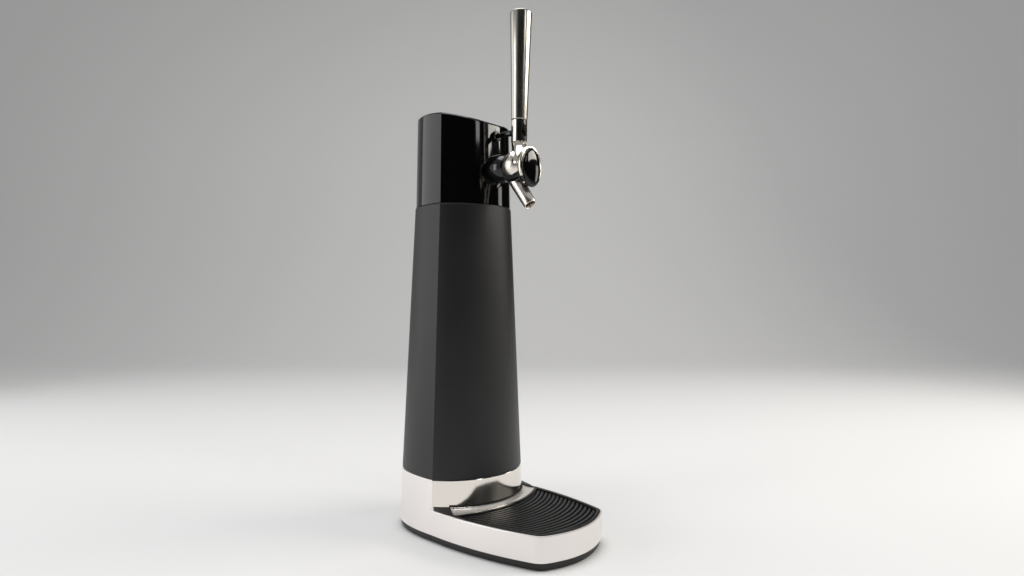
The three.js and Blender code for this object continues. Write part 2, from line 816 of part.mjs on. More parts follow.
// One rib of the grille, whose middle is furthest forward
function grilleRib(y, top) {
  const radius = (trayHalfWidth ** 2 + trayFrontBulge ** 2) / (2 * trayFrontBulge);
  const reach = towerHalfWidth;
  const sections = [];
  for (let i = 0; i <= ribSegments; i++) {
    const x = -reach + (2 * reach * i) / ribSegments;
    const back = y + radius - Math.sqrt(radius ** 2 - x ** 2);
    sections.push([
      [x, back - ribWidth / 2, top - ribHeight],
      [x, back - ribWidth / 2, top],
      [x, back + ribWidth / 2, top],
      [x, back + ribWidth / 2, top - ribHeight],
    ]);
  }
  return sweep(sections);
}

piece(baseGroup, "base_plinth", basePlinth(), finish.black);
piece(baseGroup, "base_shroud", baseShroud(), finish.silver);
piece(baseGroup, "base_core", baseCore(), finish.black);
piece(baseGroup, "base_gasket", baseGasket(), finish.silicone);
piece(baseGroup, "bottle_seat", bottleSeat(), finish.rubber);
piece(baseGroup, "drip_pan", dripPan(), finish.black);
piece(baseGroup, "drip_grille", dripGrille(), finish.black);
footPlaces().forEach(([x, y], i) => {
  const foot = roundZ(footRadius, 0, footClearance + footRecess - seatGap, x, y);
  piece(baseGroup, `rubber_foot_${i + 1}`, foot, finish.rubber);
});
baseScrewPlaces().forEach(([x, y], i) => {
  piece(baseGroup, `base_screw_${i + 1}`, screwUp(x, y, screwSeat(), baseScrewReach), finish.steel);
});

// The body: a tapered matt shell, open below, with a lip at its top that carries the bulkhead
function bodyShell() {
  const low = shroudTop + seatGap;
  let made = towerBlock(low, bodyTop, 0)
    .subtract(towerBlock(low - overrun, bodyTop - lipThickness, bodyWall))
    .subtract(towerBlock(bodyTop - lipThickness - overrun, bodyTop + overrun, lipWidth));
  const lipLow = bodyTop - lipThickness - overrun;
  for (const [x, y] of capScrewPlaces()) {
    made = made.subtract(roundZ(screwHoleRadius, lipLow, bodyTop + overrun, x, y, smallSides));
  }
  return made;
}

function capScrewPlaces() {
  const rim = towerPlan(capBottomShare, capWall + capScrewInset);
  const side = rim[frontSegments + 1];
  const back = rim[frontSegments + Math.round(backSegments * capScrewBackShare)];
  return [side, back].flatMap((spot) => [
    [-spot.x, spot.y],
    [spot.x, spot.y],
  ]);
}

// The cap's plan and its sloping top
function capShareAt(height) {
  return capBottomShare + ((capTopShare - capBottomShare) * (height - bodyTop)) / capHeight;
}

function capTopAt(y) {
  const share = Math.max(0, capCrestY - y) / (capCrestY + capFront);
  return bodyTop + capHeight - capRise * share ** 2;
}

function capBlock(z0, margin, topDrop, bevel = 0) {
  const level = (share, extra, heightOf) =>
    towerPlan(share, margin + extra).map((p) => [p.x, p.y, heightOf(p.y)]);
  const rings = [
    level(capShareAt(z0), 0, () => z0),
    level(capTopShare, 0, (y) => capTopAt(y) - topDrop - bevel),
  ];
  if (bevel) rings.push(level(capTopShare, bevel, (y) => capTopAt(y) - topDrop));
  return loft(rings, true);
}

// A U-shaped outline round the tap's axis, open at the top of the cap
function tapOutline(half) {
  const outline = [];
  for (let i = 0; i <= fasciaSides; i++) {
    const turn = Math.PI + (Math.PI * i) / fasciaSides;
    outline.push(new THREE.Vector2(half * Math.cos(turn), tapHeight + half * Math.sin(turn)));
  }
  const top = bodyTop + capHeight + overrun;
  outline.push(new THREE.Vector2(half, top), new THREE.Vector2(-half, top));
  return outline;
}

const capLow = bodyTop + seatGap;

function doorOutline(gap) {
  const half = doorHalfWidth - gap;
  return [
    new THREE.Vector2(-half, doorBottom + gap),
    new THREE.Vector2(half, doorBottom + gap),
    new THREE.Vector2(half, doorTop - gap),
    new THREE.Vector2(-half, doorTop - gap),
  ];
}

// The cap: a gloss shell over the works, open below, with openings for the fascia, door and power inlet
function capShell() {
  const inner = capBlock(capLow - overrun, capWall, capWall);
  let made = capBlock(capLow, 0, 0, capRimBevel).subtract(inner);
  for (const [x, y] of capScrewPlaces()) {
    const boss = roundZ(screwPillarRadius, plateTop + seatGap, plateTop + capBossHeight, x, y);
    made = made.add(boss.intersect(capBlock(capLow, capWall / 2, capWall / 2)));
  }
  for (const [x, y] of capScrewPlaces()) {
    made = made.subtract(roundZ(screwHoleRadius, plateTop, plateTop + capScrewLength, x, y, smallSides));
  }
  const reachOut = bodyFront + overrun;
  return made
    .subtract(prismY(tapOutline(fasciaOpeningHalf), -reachOut, -fasciaBack))
    .subtract(prismY(doorOutline(0), capBack - doorDepth - overrun, backDepth))
    .subtract(powerInletHole());
}

function powerInletHole() {
  const half = inletHalfWidth + seatGap;
  const top = plateTop + inletHeight + 2 * seatGap;
  return box(-half, half, capBack - capWall - 2 * overrun, backDepth, plateTop, top);
}

// The fascia: a U-shaped panel whose raised middle leaves a groove beside the cap
function fasciaPanel() {
  const reachOut = bodyFront + overrun;
  const back = -fasciaBack - seatGap;
  const flange = capBlock(capLow, fasciaGroove, capRimBevel)
    .intersect(prismY(tapOutline(fasciaOpeningHalf - seatGap), -reachOut, back));
  const raised = capBlock(capLow, seatGap, seatGap, capRimBevel)
    .intersect(prismY(tapOutline(fasciaRaisedHalf), -reachOut, back));
  const recess = prismY(tapOutline(fasciaRaisedHalf - fasciaRib), -fasciaRecessBack, -fasciaBack + overrun)
    .intersect(capBlock(capLow, 0, fasciaTopWall));
  const rodPlace = tapHeight + rodHeight;
  return flange
    .add(raised)
    .subtract(recess)
    .subtract(roundY(shankRadius + seatGap, -reachOut, 0, 0, tapHeight, roundSides * 2))
    .subtract(roundY(bushingRadius + seatGap, -reachOut, 0, 0, rodPlace));
}

function batteryDoor() {
  const plane = capBack - doorDepth;
  const [pullLow, pullTop] = [doorTop - 2 * doorPullHeight, doorTop - doorPullHeight];
  const pull = box(-doorPullHalf, doorPullHalf, capBack - doorPull, backDepth, pullLow, pullTop);
  return capBlock(capLow, 0, 0, capRimBevel)
    .intersect(prismY(doorOutline(looseGap), plane, backDepth))
    .subtract(pull);
}

function bulkheadPlate() {
  let made = prism(towerPlan(capBottomShare, capWall + looseGap), plateBottom, plateTop);
  const [low, high] = [plateBottom - overrun, plateTop + overrun];
  for (const [x, y] of capScrewPlaces()) {
    made = made.subtract(roundZ(screwHoleRadius, low, high, x, y, smallSides));
  }
  return made
    .subtract(roundZ(glandShankRadius + seatGap, low, high, 0, glandY))
    .subtract(roundZ(airShankRadius + seatGap, low, high, airFittingX, airFittingY));
}

function bulkheadSeal() {
  const outer = capWall + looseGap;
  const low = bodyTop + seatGap;
  const high = low + sealThickness;
  let made = prism(towerPlan(capBottomShare, outer), low, high)
    .subtract(prism(towerPlan(capBottomShare, outer + sealWidth), low - overrun, high + overrun));
  for (const [x, y] of capScrewPlaces()) {
    made = made.subtract(roundZ(screwHoleRadius, low - overrun, high + overrun, x, y, smallSides));
  }
  return made;
}

piece(towerGroup, "body_shell", bodyShell(), finish.body);
piece(towerGroup, "bulkhead_seal", bulkheadSeal(), finish.silicone);
piece(towerGroup, "bulkhead_plate", bulkheadPlate(), finish.black);
piece(towerGroup, "cap_shell", capShell(), finish.gloss);
piece(towerGroup, "fascia_panel", fasciaPanel(), finish.gloss);
piece(towerGroup, "battery_door", batteryDoor(), finish.gloss);
capScrewPlaces().forEach(([x, y], i) => {
  const point = plateTop + capScrewLength - seatGap;
  piece(towerGroup, `cap_screw_${i + 1}`, screwUp(x, y, bodyTop - lipThickness, point), finish.steel);
});

// Batteries: a holder open towards the door, two cells and the contacts at their ends
function cellPlaces() {
  return [-cellSpacing / 2, cellSpacing / 2];
}

function batteryHolder() {
  const low = cellBottom - contactThickness - 2 * seatGap;
  const high = cellBottom + cellLength + cellNubHeight + contactThickness + 2 * seatGap;
  const half = cellSpacing / 2 + cellRadius + seatGap;
  const inletFront = capBack + seatGap - inletDepth;
  const inletRoom = plateTop + inletHeight + 2 * seatGap;
  const wide = holderHalfWidth * 2;
  return box(-holderHalfWidth, holderHalfWidth, holderFront, holderBack, plateTop + seatGap, holderTop)
    .subtract(box(-half, half, cellY - cellRadius - seatGap, holderBack + overrun, low, high))
    .subtract(box(-wide, wide, inletFront - seatGap, backDepth, plateTop, inletRoom));
}

function cell(x) {
  const top = cellBottom + cellLength;
  return roundZ(cellRadius, cellBottom, top, x, cellY)
    .add(roundZ(cellNubRadius, top - overrun, top + cellNubHeight, x, cellY, smallSides));
}

function contact(z) {
  const [front, back] = [cellY - contactHalfDepth, cellY + contactHalfDepth];
  return box(-contactHalfWidth, contactHalfWidth, front, back, z, z + contactThickness);
}

piece(towerGroup, "battery_holder", batteryHolder(), finish.black);
cellPlaces().forEach((x, i) => piece(towerGroup, `battery_cell_${i + 1}`, cell(x), finish.cell));
piece(towerGroup, "battery_contact_bottom", contact(cellBottom - contactThickness - seatGap), finish.brass);
piece(
  towerGroup,
  "battery_contact_top",
  contact(cellBottom + cellLength + cellNubHeight + seatGap),
  finish.brass,
);

// Pump: a head with a crank chamber, the motor on top of it, and the crank that turns between them
const pumpLow = plateTop + seatGap;
const pumpTop = pumpLow + pumpHeadHeight;

function pumpHead() {
  const outletX = pumpX + pumpHalf;
  const outletZ = pumpLow + pumpOutletHeight;
  return box(pumpX - pumpHalf, pumpX + pumpHalf, pumpY - pumpHalf, pumpY + pumpHalf, pumpLow, pumpTop)
    .subtract(roundZ(pumpCavityRadius, pumpLow + pumpFloor, pumpTop + overrun, pumpX, pumpY))
    .add(roundX(airBarbRadius, outletX - overrun, outletX + pumpOutletLength, pumpY, outletZ, smallSides))
    .subtract(roundX(airBoreRadius, pumpX, outletX + pumpOutletLength + overrun, pumpY, outletZ, smallSides));
}

function pumpMotor() {
  const low = pumpTop + seatGap;
  const boreTop = low + crankShaftInMotor + seatGap;
  return roundZ(motorRadius, low, low + motorHeight, pumpX, pumpY)
    .subtract(roundZ(crankShaftRadius + seatGap, low - overrun, boreTop, pumpX, pumpY, smallSides));
}

function pumpCrank() {
  const low = pumpLow + pumpFloor + crankLift;
  const shaftTop = pumpTop + crankShaftInMotor;
  return roundZ(crankRadius, low, low + crankThickness, pumpX + crankOffset, pumpY)
    .add(roundZ(crankShaftRadius, low + crankThickness / 2, shaftTop, pumpX, pumpY, smallSides));
}

piece(towerGroup, "pump_head", pumpHead(), finish.black);
piece(towerGroup, "pump_motor", pumpMotor(), finish.steel);
piece(towerGroup, "pump_crank", pumpCrank(), finish.steel);

// Tubes: the dip tube into the bottle, the beer hose up to the tap and the air hose from the pump
function tubeGland() {
  const low = plateTop + seatGap;
  const foot = plateBottom - glandShankDrop;
  const top = low + glandTopHeight;
  return roundZ(glandFlangeRadius, low, low + glandFlangeHeight, 0, glandY)
    .add(roundZ(glandShankRadius, foot, low + overrun, 0, glandY))
    .add(roundZ(barbRadius, low, top, 0, glandY))
    .subtract(roundZ(glandBoreRadius, foot - overrun, top + overrun, 0, glandY, smallSides));
}

function dipTube() {
  const top = plateBottom - glandShankDrop - seatGap;
  return roundZ(dipTubeRadius, dipTubeEnd, top, 0, glandY)
    .subtract(roundZ(dipTubeBoreRadius, dipTubeEnd - overrun, top + overrun, 0, glandY, smallSides));
}

function beerHose() {
  const barbZ = tapHeight;
  const low = plateTop + 2 * seatGap + glandTopHeight;
  const start = -(barbEnd - seatGap);
  const reach = glandY - start;
  const rise = barbZ - low;
  const route = [
    [0, start, barbZ],
    [0, start + reach / 4, barbZ],
    [0, start + (reach * 3) / 4, barbZ - rise / 5],
    [0, glandY, low + rise / 3],
    [0, glandY, low],
  ];
  return tube(route, beerHoseRadius, hoseSteps, hoseSides).subtract(
    tube(stretched(route), channelRadius, hoseSteps, hoseSides),
  );
}

// A route whose two ends run on, for the bore of a hose
function stretched(route) {
  const on = (end, before) => end.map((value, i) => value + (value - before[i]) / 4);
  const last = route.length - 1;
  return [on(route[0], route[1]), ...route.slice(1, last), on(route[last], route[last - 1])];
}

function airFitting() {
  const low = plateTop + seatGap;
  const foot = plateBottom - airShankDrop;
  const top = low + airFittingTop;
  const rod = (radius, z0, z1) => roundZ(radius, z0, z1, airFittingX, airFittingY, smallSides);
  return rod(airFittingRadius, low, low + airFittingHeight)
    .add(rod(airShankRadius, foot, low + overrun))
    .add(rod(airBarbRadius, low, top))
    .subtract(rod(airBoreRadius, foot - overrun, top + overrun));
}

function airHose() {
  const startX = pumpX + pumpHalf + pumpOutletLength + seatGap;
  const startZ = pumpLow + pumpOutletHeight;
  const low = plateTop + 2 * seatGap + airFittingTop;
  const span = pumpY - airFittingY;
  const route = [
    [startX, pumpY, startZ],
    [startX + airHoseRadius, pumpY, startZ],
    [startX + 2 * airHoseRadius, pumpY - span / 4, startZ + airHoseRadius],
    [airFittingX, pumpY - (span * 3) / 4, startZ + 2 * airHoseRadius],
    [airFittingX, airFittingY, low + airHoseRadius],
    [airFittingX, airFittingY, low],
  ];
  return tube(route, airHoseRadius, hoseSteps, hoseSides).subtract(
    tube(stretched(route), airBoreRadius, hoseSteps, hoseSides),
  );
}

piece(towerGroup, "tube_gland", tubeGland(), finish.black);
piece(towerGroup, "dip_tube", dipTube(), finish.silicone);
piece(towerGroup, "beer_hose", beerHose(), finish.silicone);
piece(towerGroup, "air_fitting", airFitting(), finish.black);
piece(towerGroup, "air_hose", airHose(), finish.silicone);

// Circuit board on its bracket, with the two switches that the push rod works, and the power inlet
function circuitBoard() {
  return box(boardX, boardX + boardThickness, boardFront, boardBack, boardBottom, boardTop);
}

function boardBracket() {
  const x = boardX + boardThickness + seatGap;
  return box(x, x + bracketThickness, bracketFront, bracketBack, plateTop + seatGap, boardTop);
}

function switchAt(nubY, facing) {
  const face = nubY - facing * switchNubLength;
  const rear = face - facing * switchDepth;
  const nubRoot = face - facing * switchNubLength;
  const ordered = (a, b) => [Math.min(a, b), Math.max(a, b)];
  const [low, high] = ordered(face, rear);
  const [nubLow, nubHigh] = ordered(nubRoot, nubY);
  return box(-switchHalfWidth, boardX - seatGap, low, high, switchBottom, switchTop)
    .add(roundY(switchNubRadius, nubLow, nubHigh, 0, switchNubHeight, smallSides));
}

function powerInlet() {
  const low = plateTop + seatGap;
  const back = capBack + seatGap;
  const front = back - inletDepth;
  return box(-inletHalfWidth, inletHalfWidth, front, back, low, low + inletHeight).subtract(
    box(
      -inletHalfWidth + inletWall,
      inletHalfWidth - inletWall,
      front + 2 * inletWall,
      back + overrun,
      low + inletWall,
      low + inletHeight - inletWall,
    ),
  );
}

piece(towerGroup, "circuit_board", circuitBoard(), finish.board);
piece(towerGroup, "board_bracket", boardBracket(), finish.black);
piece(towerGroup, "pour_switch", switchAt(pourNubY, 1), finish.black);
piece(towerGroup, "foam_switch", switchAt(foamNubY, -1), finish.black);
piece(towerGroup, "power_inlet", powerInlet(), finish.steel);

// A turned solid about an axis along Y, from [radius, place] pairs in the tower's frame
function turnedY(profile, sides = roundSides * 2) {
  const points = profile.map(([radius, y]) => new THREE.Vector2(radius, y));
  return solid(new THREE.LatheGeometry(points, sides).translate(0, 0, tapHeight));
}

// The collar is a bell against the fascia, hollowed in front to seat the ball
function collar() {
  const seat = new THREE.SphereGeometry(ballRadius + seatGap, ballSides, ballSides / 2);
  const bell = [
    [0, collarFaceRadius],
    [0.04, (collarFaceRadius + collarRadius) / 2],
    [0.14, collarRadius - (collarRadius - collarRootRadius) / 5],
    [0.32, collarRadius],
    [0.5, collarRadius - (collarRadius - collarRootRadius) / 5],
    [0.78, collarRootRadius],
    [1, collarRootRadius],
  ];
  const back = -collarStart;
  const front = -collarFront;
  const rings = bell.map(([share, radius]) => [radius, front + (back - front) * share]);
  const ring = turnedY([[0, front], ...rings, [0, back]]);
  return ring
    .subtract(capBlock(capLow, 0, 0))
    .subtract(roundY(shankRadius + seatGap, -tapReach, 0, 0, tapHeight, roundSides * 2))
    .subtract(solid(seat.translate(0, -tapReach, tapHeight)));
}

function shankNut() {
  const hexagon = 6;
  return roundY(shankNutRadius, -shankNutFront, -shankNutBack, 0, tapHeight, hexagon)
    .subtract(roundY(shankRadius + seatGap, -shankNutFront - overrun, 0, 0, tapHeight, roundSides * 2));
}

function foamTransducer() {
  const front = -shankNutBack + seatGap;
  return roundY(transducerRadius, front, front + transducerThickness, 0, tapHeight)
    .subtract(roundY(shankRadius + seatGap, front - overrun, 0, 0, tapHeight, roundSides * 2));
}

function rodBushing() {
  const place = tapHeight + rodHeight;
  return roundY(bushingRadius, -bushingFront, -bushingBack, 0, place)
    .subtract(roundY(rodRadius + seatGap, -bushingFront - overrun, 0, 0, place));
}

function pushRod() {
  const place = tapHeight + rodHeight;
  const head = new THREE.SphereGeometry(rodHeadRadius, roundSides, smallSides);
  const camBack = -camFront + camThickness;
  return roundY(rodRadius, -rodHeadY, -rodEnd, 0, place, smallSides)
    .add(solid(head.translate(0, -rodHeadY, place)))
    .add(box(-camHalfWidth, camHalfWidth, -camFront, camBack, place - camFoot, place + camTop));
}

piece(towerGroup, "collar", collar(), finish.gloss);
piece(towerGroup, "shank_nut", shankNut(), finish.brass);
piece(towerGroup, "foam_transducer", foamTransducer(), finish.steel);
piece(towerGroup, "rod_bushing", rodBushing(), finish.gloss);
piece(towerGroup, "push_rod", pushRod(), finish.gloss);

// The tap's own pieces are placed from the ball's centre
tapGroup.position.set(0, -tapReach, tapHeight);

function ballSphere(radius, y = 0, z = 0) {
  return solid(new THREE.SphereGeometry(radius, ballSides, ballSides / 2).translate(0, y, z));
}

// A turned solid along the spout's own axis, from [radius, distance] pairs
function alongSpout(profile, sides = roundSides) {
  const points = profile.map(([radius, reach]) => new THREE.Vector2(radius, -reach)).reverse();
  const geometry = new THREE.LatheGeometry(points, sides).rotateX(Math.PI / 2);
  return solid(geometry.rotateX((-spoutTilt * Math.PI) / 180).translate(0, spoutRootY, 0));
}

function spoutRod(radius, from, to) {
  return alongSpout([
    [0, from],
    [radius, from],
    [radius, to],
    [0, to],
  ]);
}

// The ball, with the shank behind it and the stub that the spout is pushed onto
function tapBall() {
  const shank = roundY(shankRadius, 0, tapReach - shankEnd, 0, 0, roundSides * 2);
  const barb = roundY(barbRadius, 0, tapReach - barbEnd, 0, 0);
  const channel = roundY(channelRadius, spoutRootY, tapReach, 0, 0, smallSides);
  return ballSphere(ballRadius)
    .add(shank)
    .add(barb)
    .add(spoutRod(spoutStubRadius, spoutStart, spoutStubEnd))
    .subtract(channel)
    .subtract(spoutRod(channelRadius, 0, spoutStubEnd + overrun));
}

function spout() {
  const shoulder = spoutStubEnd + seatGap;
  return alongSpout([
    [0, spoutStart],
    [spoutTopRadius, spoutStart],
    [spoutTopRadius, spoutStubEnd - overrun],
    [spoutEndRadius, spoutLength],
    [0, spoutLength],
  ])
    .subtract(spoutRod(spoutStubRadius + seatGap, 0, shoulder))
    .subtract(spoutRod(spoutBoreRadius, 0, spoutLength + overrun))
    .subtract(ballSphere(ballRadius + seatGap));
}

// The block under the ball that carries the lever's hinge
function hingeBlock() {
  const below = hingePinZ - knuckleRadius;
  const arm = prismX(
    [
      [armBack, armTop],
      [armBack, armTop + armFront / 3],
      [armFront + seatGap, below + seatGap],
      [hingePinY, below],
      [hingePinY, hingePinZ + knuckleRadius],
      [armFront, hingePinZ + knuckleRadius],
      [armFront, armTop],
    ],
    -knuckleHalf,
    knuckleHalf,
  );
  const round = spoutTopRadius + seatGap;
  return arm
    .add(roundX(knuckleRadius, -knuckleHalf, knuckleHalf, hingePinY, hingePinZ))
    .subtract(ballSphere(ballRadius + seatGap))
    .subtract(spoutRod(round, 0, spoutLength))
    .subtract(pinRoom());
}

// Room for the hinge pin, right through
function pinRoom() {
  const radius = hingePinRadius + seatGap;
  return roundX(radius, -bezelHalfWidth, bezelHalfWidth, hingePinY, hingePinZ, smallSides);
}

function oval(halfWidth, halfHeight, centreZ) {
  return Array.from({ length: bezelSegments }, (_, i) => {
    const turn = (i / bezelSegments) * 2 * Math.PI;
    return new THREE.Vector2(halfWidth * Math.cos(turn), centreZ + halfHeight * Math.sin(turn));
  });
}

// A solid through ovals that stand upright, from [place along Y, half width, half height, height] rows
function ovalStack(rows) {
  const rings = rows.map(([y, halfWidth, halfHeight, centreZ]) =>
    oval(halfWidth, halfHeight, centreZ).map((p) => [p.x, y, p.y]),
  );
  const geometryRows = rings.flat();
  const faces = [];
  const count = bezelSegments;
  for (let r = 0; r + 1 < rings.length; r++) {
    for (let i = 0; i < count; i++) {
      const a = r * count + i;
      const b = r * count + ((i + 1) % count);
      faces.push(a, b, b + count, a, b + count, a + count);
    }
  }
  const last = (rings.length - 1) * count;
  for (let i = 1; i + 1 < count; i++) {
    faces.push(0, i + 1, i, last, last + i, last + i + 1);
  }
  const geometry = new THREE.BufferGeometry();
  geometry.setAttribute("position", new THREE.BufferAttribute(new Float32Array(geometryRows.flat()), 3));
  geometry.setIndex(faces);
  return solid(geometry);
}

// The hood that runs from the bezel over the ball up to the round neck
function hood() {
  const ring = (z, y, halfX, halfY) =>
    Array.from({ length: ballSides }, (_, i) => {
      const turn = (i / ballSides) * 2 * Math.PI;
      return [halfX * Math.cos(turn), y + halfY * Math.sin(turn), z];
    });
  return loft([
    ...hoodSections.map(([z, y, halfX, halfY]) => ring(z, y, halfX, halfY)),
    ring(neckTop, neckY, neckRadius, neckRadius),
  ]);
}

// Room for the ball inside the lever, from rest to the end of its backward swing
function ballRoom() {
  let room = null;
  for (const share of [0, 1 / 2, 1]) {
    const turn = (leverBackSwing * share * Math.PI) / 180;
    const y = hingePinY - hingePinY * Math.cos(turn) + hingePinZ * Math.sin(turn);
    const z = hingePinZ - hingePinZ * Math.cos(turn) - hingePinY * Math.sin(turn);
    const sphere = ballSphere(ballRadius + ballGap, y, z);
    room = room ? room.add(sphere) : sphere;
  }
  return room;
}

// The lever: bezel, hood and neck in one casting, hinged at the bezel's lower end
function lever() {
  const edge = bezelEdge;
  const bezel = ovalStack([
    [bezelFront, bezelHalfWidth - edge, bezelHalfHeight - edge, bezelCentreZ],
    [bezelFront + edge / 3, bezelHalfWidth - edge / 3, bezelHalfHeight - edge / 3, bezelCentreZ],
    [bezelFront + edge, bezelHalfWidth, bezelHalfHeight, bezelCentreZ],
    [bezelFront + 3 * edge, bezelHalfWidth - edge / 3, bezelHalfHeight - edge / 3, bezelCentreZ],
    [bezelBack, bezelHalfWidth - 2 * edge, bezelHalfHeight - 2 * edge, bezelCentreZ],
  ]);
  const pocket = ovalStack([
    [bezelFront - overrun, insertHalfWidth + seatGap, insertHalfHeight + seatGap, insertCentreZ],
    [bezelFront + insertPocket, insertHalfWidth + seatGap, insertHalfHeight + seatGap, insertCentreZ],
  ]);
  const spigotTop = neckTop + neckSpigotHeight;
  const spigot = roundZ(neckSpigotRadius, neckTop - overrun, spigotTop, 0, neckY, smallSides);
  const half = knuckleHalf + seatGap;
  const far = 2 * bezelHalfHeight;
  return bezel
    .add(hood())
    .add(spigot)
    .subtract(ballRoom())
    .subtract(pocket)
    .subtract(box(-half, half, -far, 0, -far, notchTop))
    .subtract(box(-half, half, armFront - 2 * ballGap, 0, notchTop - overrun, armTop + ballGap))
    .subtract(box(-far, far, notchBack, 0, -far, notchTop + overrun))
    .subtract(pinRoom());
}

function leverInsert() {
  const back = bezelFront + insertPocket - seatGap;
  const [w, h, z] = [insertHalfWidth, insertHalfHeight, insertCentreZ];
  const domeShares = [
    [1, 0],
    [0.97, 0.32],
    [0.86, 0.6],
    [0.62, 0.85],
    [0.32, 0.97],
  ];
  const row = ([size, rise]) => [bezelFront - insertDome * rise, w * size, h * size, z];
  const rows = domeShares.map(row).reverse();
  const half = knuckleHalf + seatGap;
  return ovalStack([...rows, [back, w, h, z]])
    .subtract(roundX(knuckleRadius + seatGap, -half, half, hingePinY, hingePinZ));
}

function hingePin() {
  return roundX(hingePinRadius, -hingePinReach, hingePinReach, hingePinY, hingePinZ, smallSides);
}

piece(tapGroup, "tap_ball", tapBall(), finish.chrome);
piece(tapGroup, "spout", spout(), finish.chrome);
piece(tapGroup, "hinge_block", hingeBlock(), finish.gloss);
piece(tapGroup, "hinge_pin", hingePin(), finish.steel);
piece(leverGroup, "lever", lever(), finish.chrome);
piece(leverGroup, "lever_insert", leverInsert(), finish.gloss);

// The ferrule and handle stand on the neck, leaning with it, from the neck's top
const handleGroup = new THREE.Group();
handleGroup.position.set(0, neckY, neckTop);
handleGroup.rotation.x = (handleLean * Math.PI) / 180;

function ferrule() {
  const wide = neckRadius + overrun;
  const rod = rodHoleHeight;
  const front = ovalStack([
    [-wide, rodHoleHalfWidth, rodHoleHalfHeight, rod - rodHoleDrop],
    [rodHoleDepth, rodHoleHalfWidth, rodHoleHalfHeight, rod - rodHoleDrop],
  ]);
  const back = box(-rodSlotHalfWidth, rodSlotHalfWidth, 0, wide, rod - rodSlotDown, rod + rodSlotUp);
  const bore = (radius, z0, z1) => roundZ(radius + seatGap, z0, z1, 0, 0, smallSides);
  return roundZ(neckRadius, seatGap, ferruleHeight)
    .subtract(front)
    .subtract(back)
    .subtract(bore(neckSpigotRadius, -overrun, neckSpigotHeight + seatGap))
    .subtract(bore(studRadius, ferruleHeight - studInFerrule - seatGap, ferruleHeight + overrun));
}

function handle() {
  const low = ferruleHeight + seatGap;
  const top = low + handleLength;
  return turned([
    [0, low],
    [handleBottomRadius, low],
    [handleTopRadius, top - handleEdge - handleDome],
    [handleTopRadius - handleEdge / 3, top - handleEdge / 3 - handleDome],
    [handleTopRadius - handleEdge, top - handleDome],
    [handleTopRadius / 2, top - handleDome / 4],
    [0, top],
  ]).subtract(roundZ(studRadius + seatGap, low - overrun, low + studInHandle + seatGap, 0, 0, smallSides));
}

function handleStud() {
  return roundZ(studRadius, ferruleHeight - studInFerrule, ferruleHeight + studInHandle, 0, 0, smallSides);
}

piece(handleGroup, "ferrule", ferrule(), finish.chrome);
piece(handleGroup, "handle_stud", handleStud(), finish.steel);
piece(handleGroup, "handle", handle(), finish.steel);
leverGroup.add(handleGroup);
tapGroup.add(leverGroup);

// The whole stands with the middle of its outline over the origin
const assembly = new THREE.Group();
const backReach = bodyBack * shareAt(footHeight);
const frontReach = trayReach + trayFrontBulge;
assembly.position.y = (frontReach - backReach) / 2;
assembly.add(baseGroup, towerGroup, tapGroup);

const dispenser = new THREE.Group();
dispenser.add(assembly);

export default dispenser;
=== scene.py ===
# A countertop draft beer dispenser, dressed piece by piece in the order that it is put together.
import math
import bmesh
import bpy
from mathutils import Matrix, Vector


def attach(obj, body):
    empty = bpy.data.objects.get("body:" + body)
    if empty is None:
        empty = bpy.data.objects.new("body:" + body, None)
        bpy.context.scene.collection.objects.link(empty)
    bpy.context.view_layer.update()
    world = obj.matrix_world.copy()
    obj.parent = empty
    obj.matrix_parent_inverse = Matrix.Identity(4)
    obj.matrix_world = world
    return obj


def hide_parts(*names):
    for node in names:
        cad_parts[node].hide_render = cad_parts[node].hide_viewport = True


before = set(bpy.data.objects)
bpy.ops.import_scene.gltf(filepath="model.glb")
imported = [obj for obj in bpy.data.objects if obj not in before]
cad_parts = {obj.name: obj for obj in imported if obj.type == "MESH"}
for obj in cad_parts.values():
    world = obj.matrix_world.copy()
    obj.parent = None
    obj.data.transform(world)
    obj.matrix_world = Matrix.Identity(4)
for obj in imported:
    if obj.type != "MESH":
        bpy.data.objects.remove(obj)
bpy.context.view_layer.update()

# Camera: the photograph's own viewpoint, left of the front and a little below half height, with the wide
# lens that makes the tower and tray converge.
tower_y = 0.0407621  # the tower's upright axis, behind the middle of the outline
camera_turn = math.radians(44.63)
camera_reach = 0.664
look_turn = math.radians(44.63 + 3.95)
look_rise = math.radians(0.69)


def new_object(name, data):
    thing = bpy.data.objects.new(name, data)
    bpy.context.scene.collection.objects.link(thing)
    return thing


lens_data = bpy.data.cameras.new("photo_camera")
lens_data.sensor_fit = "HORIZONTAL"
lens_data.sensor_width = 36
lens_data.lens = 22.49
lens_data.clip_start = 0.01
lens_data.clip_end = 50
camera = new_object("photo_camera", lens_data)
camera.location = (
    -camera_reach * math.sin(camera_turn),
    tower_y - camera_reach * math.cos(camera_turn),
    0.2329,
)
look = Vector((
    math.sin(look_turn) * math.cos(look_rise),
    math.cos(look_turn) * math.cos(look_rise),
    math.sin(look_rise),
))
camera.rotation_euler = look.to_track_quat("-Z", "Y").to_euler()
bpy.context.scene.camera = camera
bpy.context.scene.view_settings.view_transform = "Standard"


# Studio: a plain pale floor that runs up into a grey backdrop. Soft boxes stand behind on the left, which the
# cap's side mirrors, and on the right for the silver base; a dark flag round the front keeps gloss deep.
def linear(code):
    """A colour as seen on a screen, turned into the linear values that the renderer counts in."""
    parts = [int(code[i : i + 2], 16) / 255 for i in (1, 3, 5)]
    return (*[p / 12.92 if p <= 0.04045 else ((p + 0.055) / 1.055) ** 2.4 for p in parts], 1)


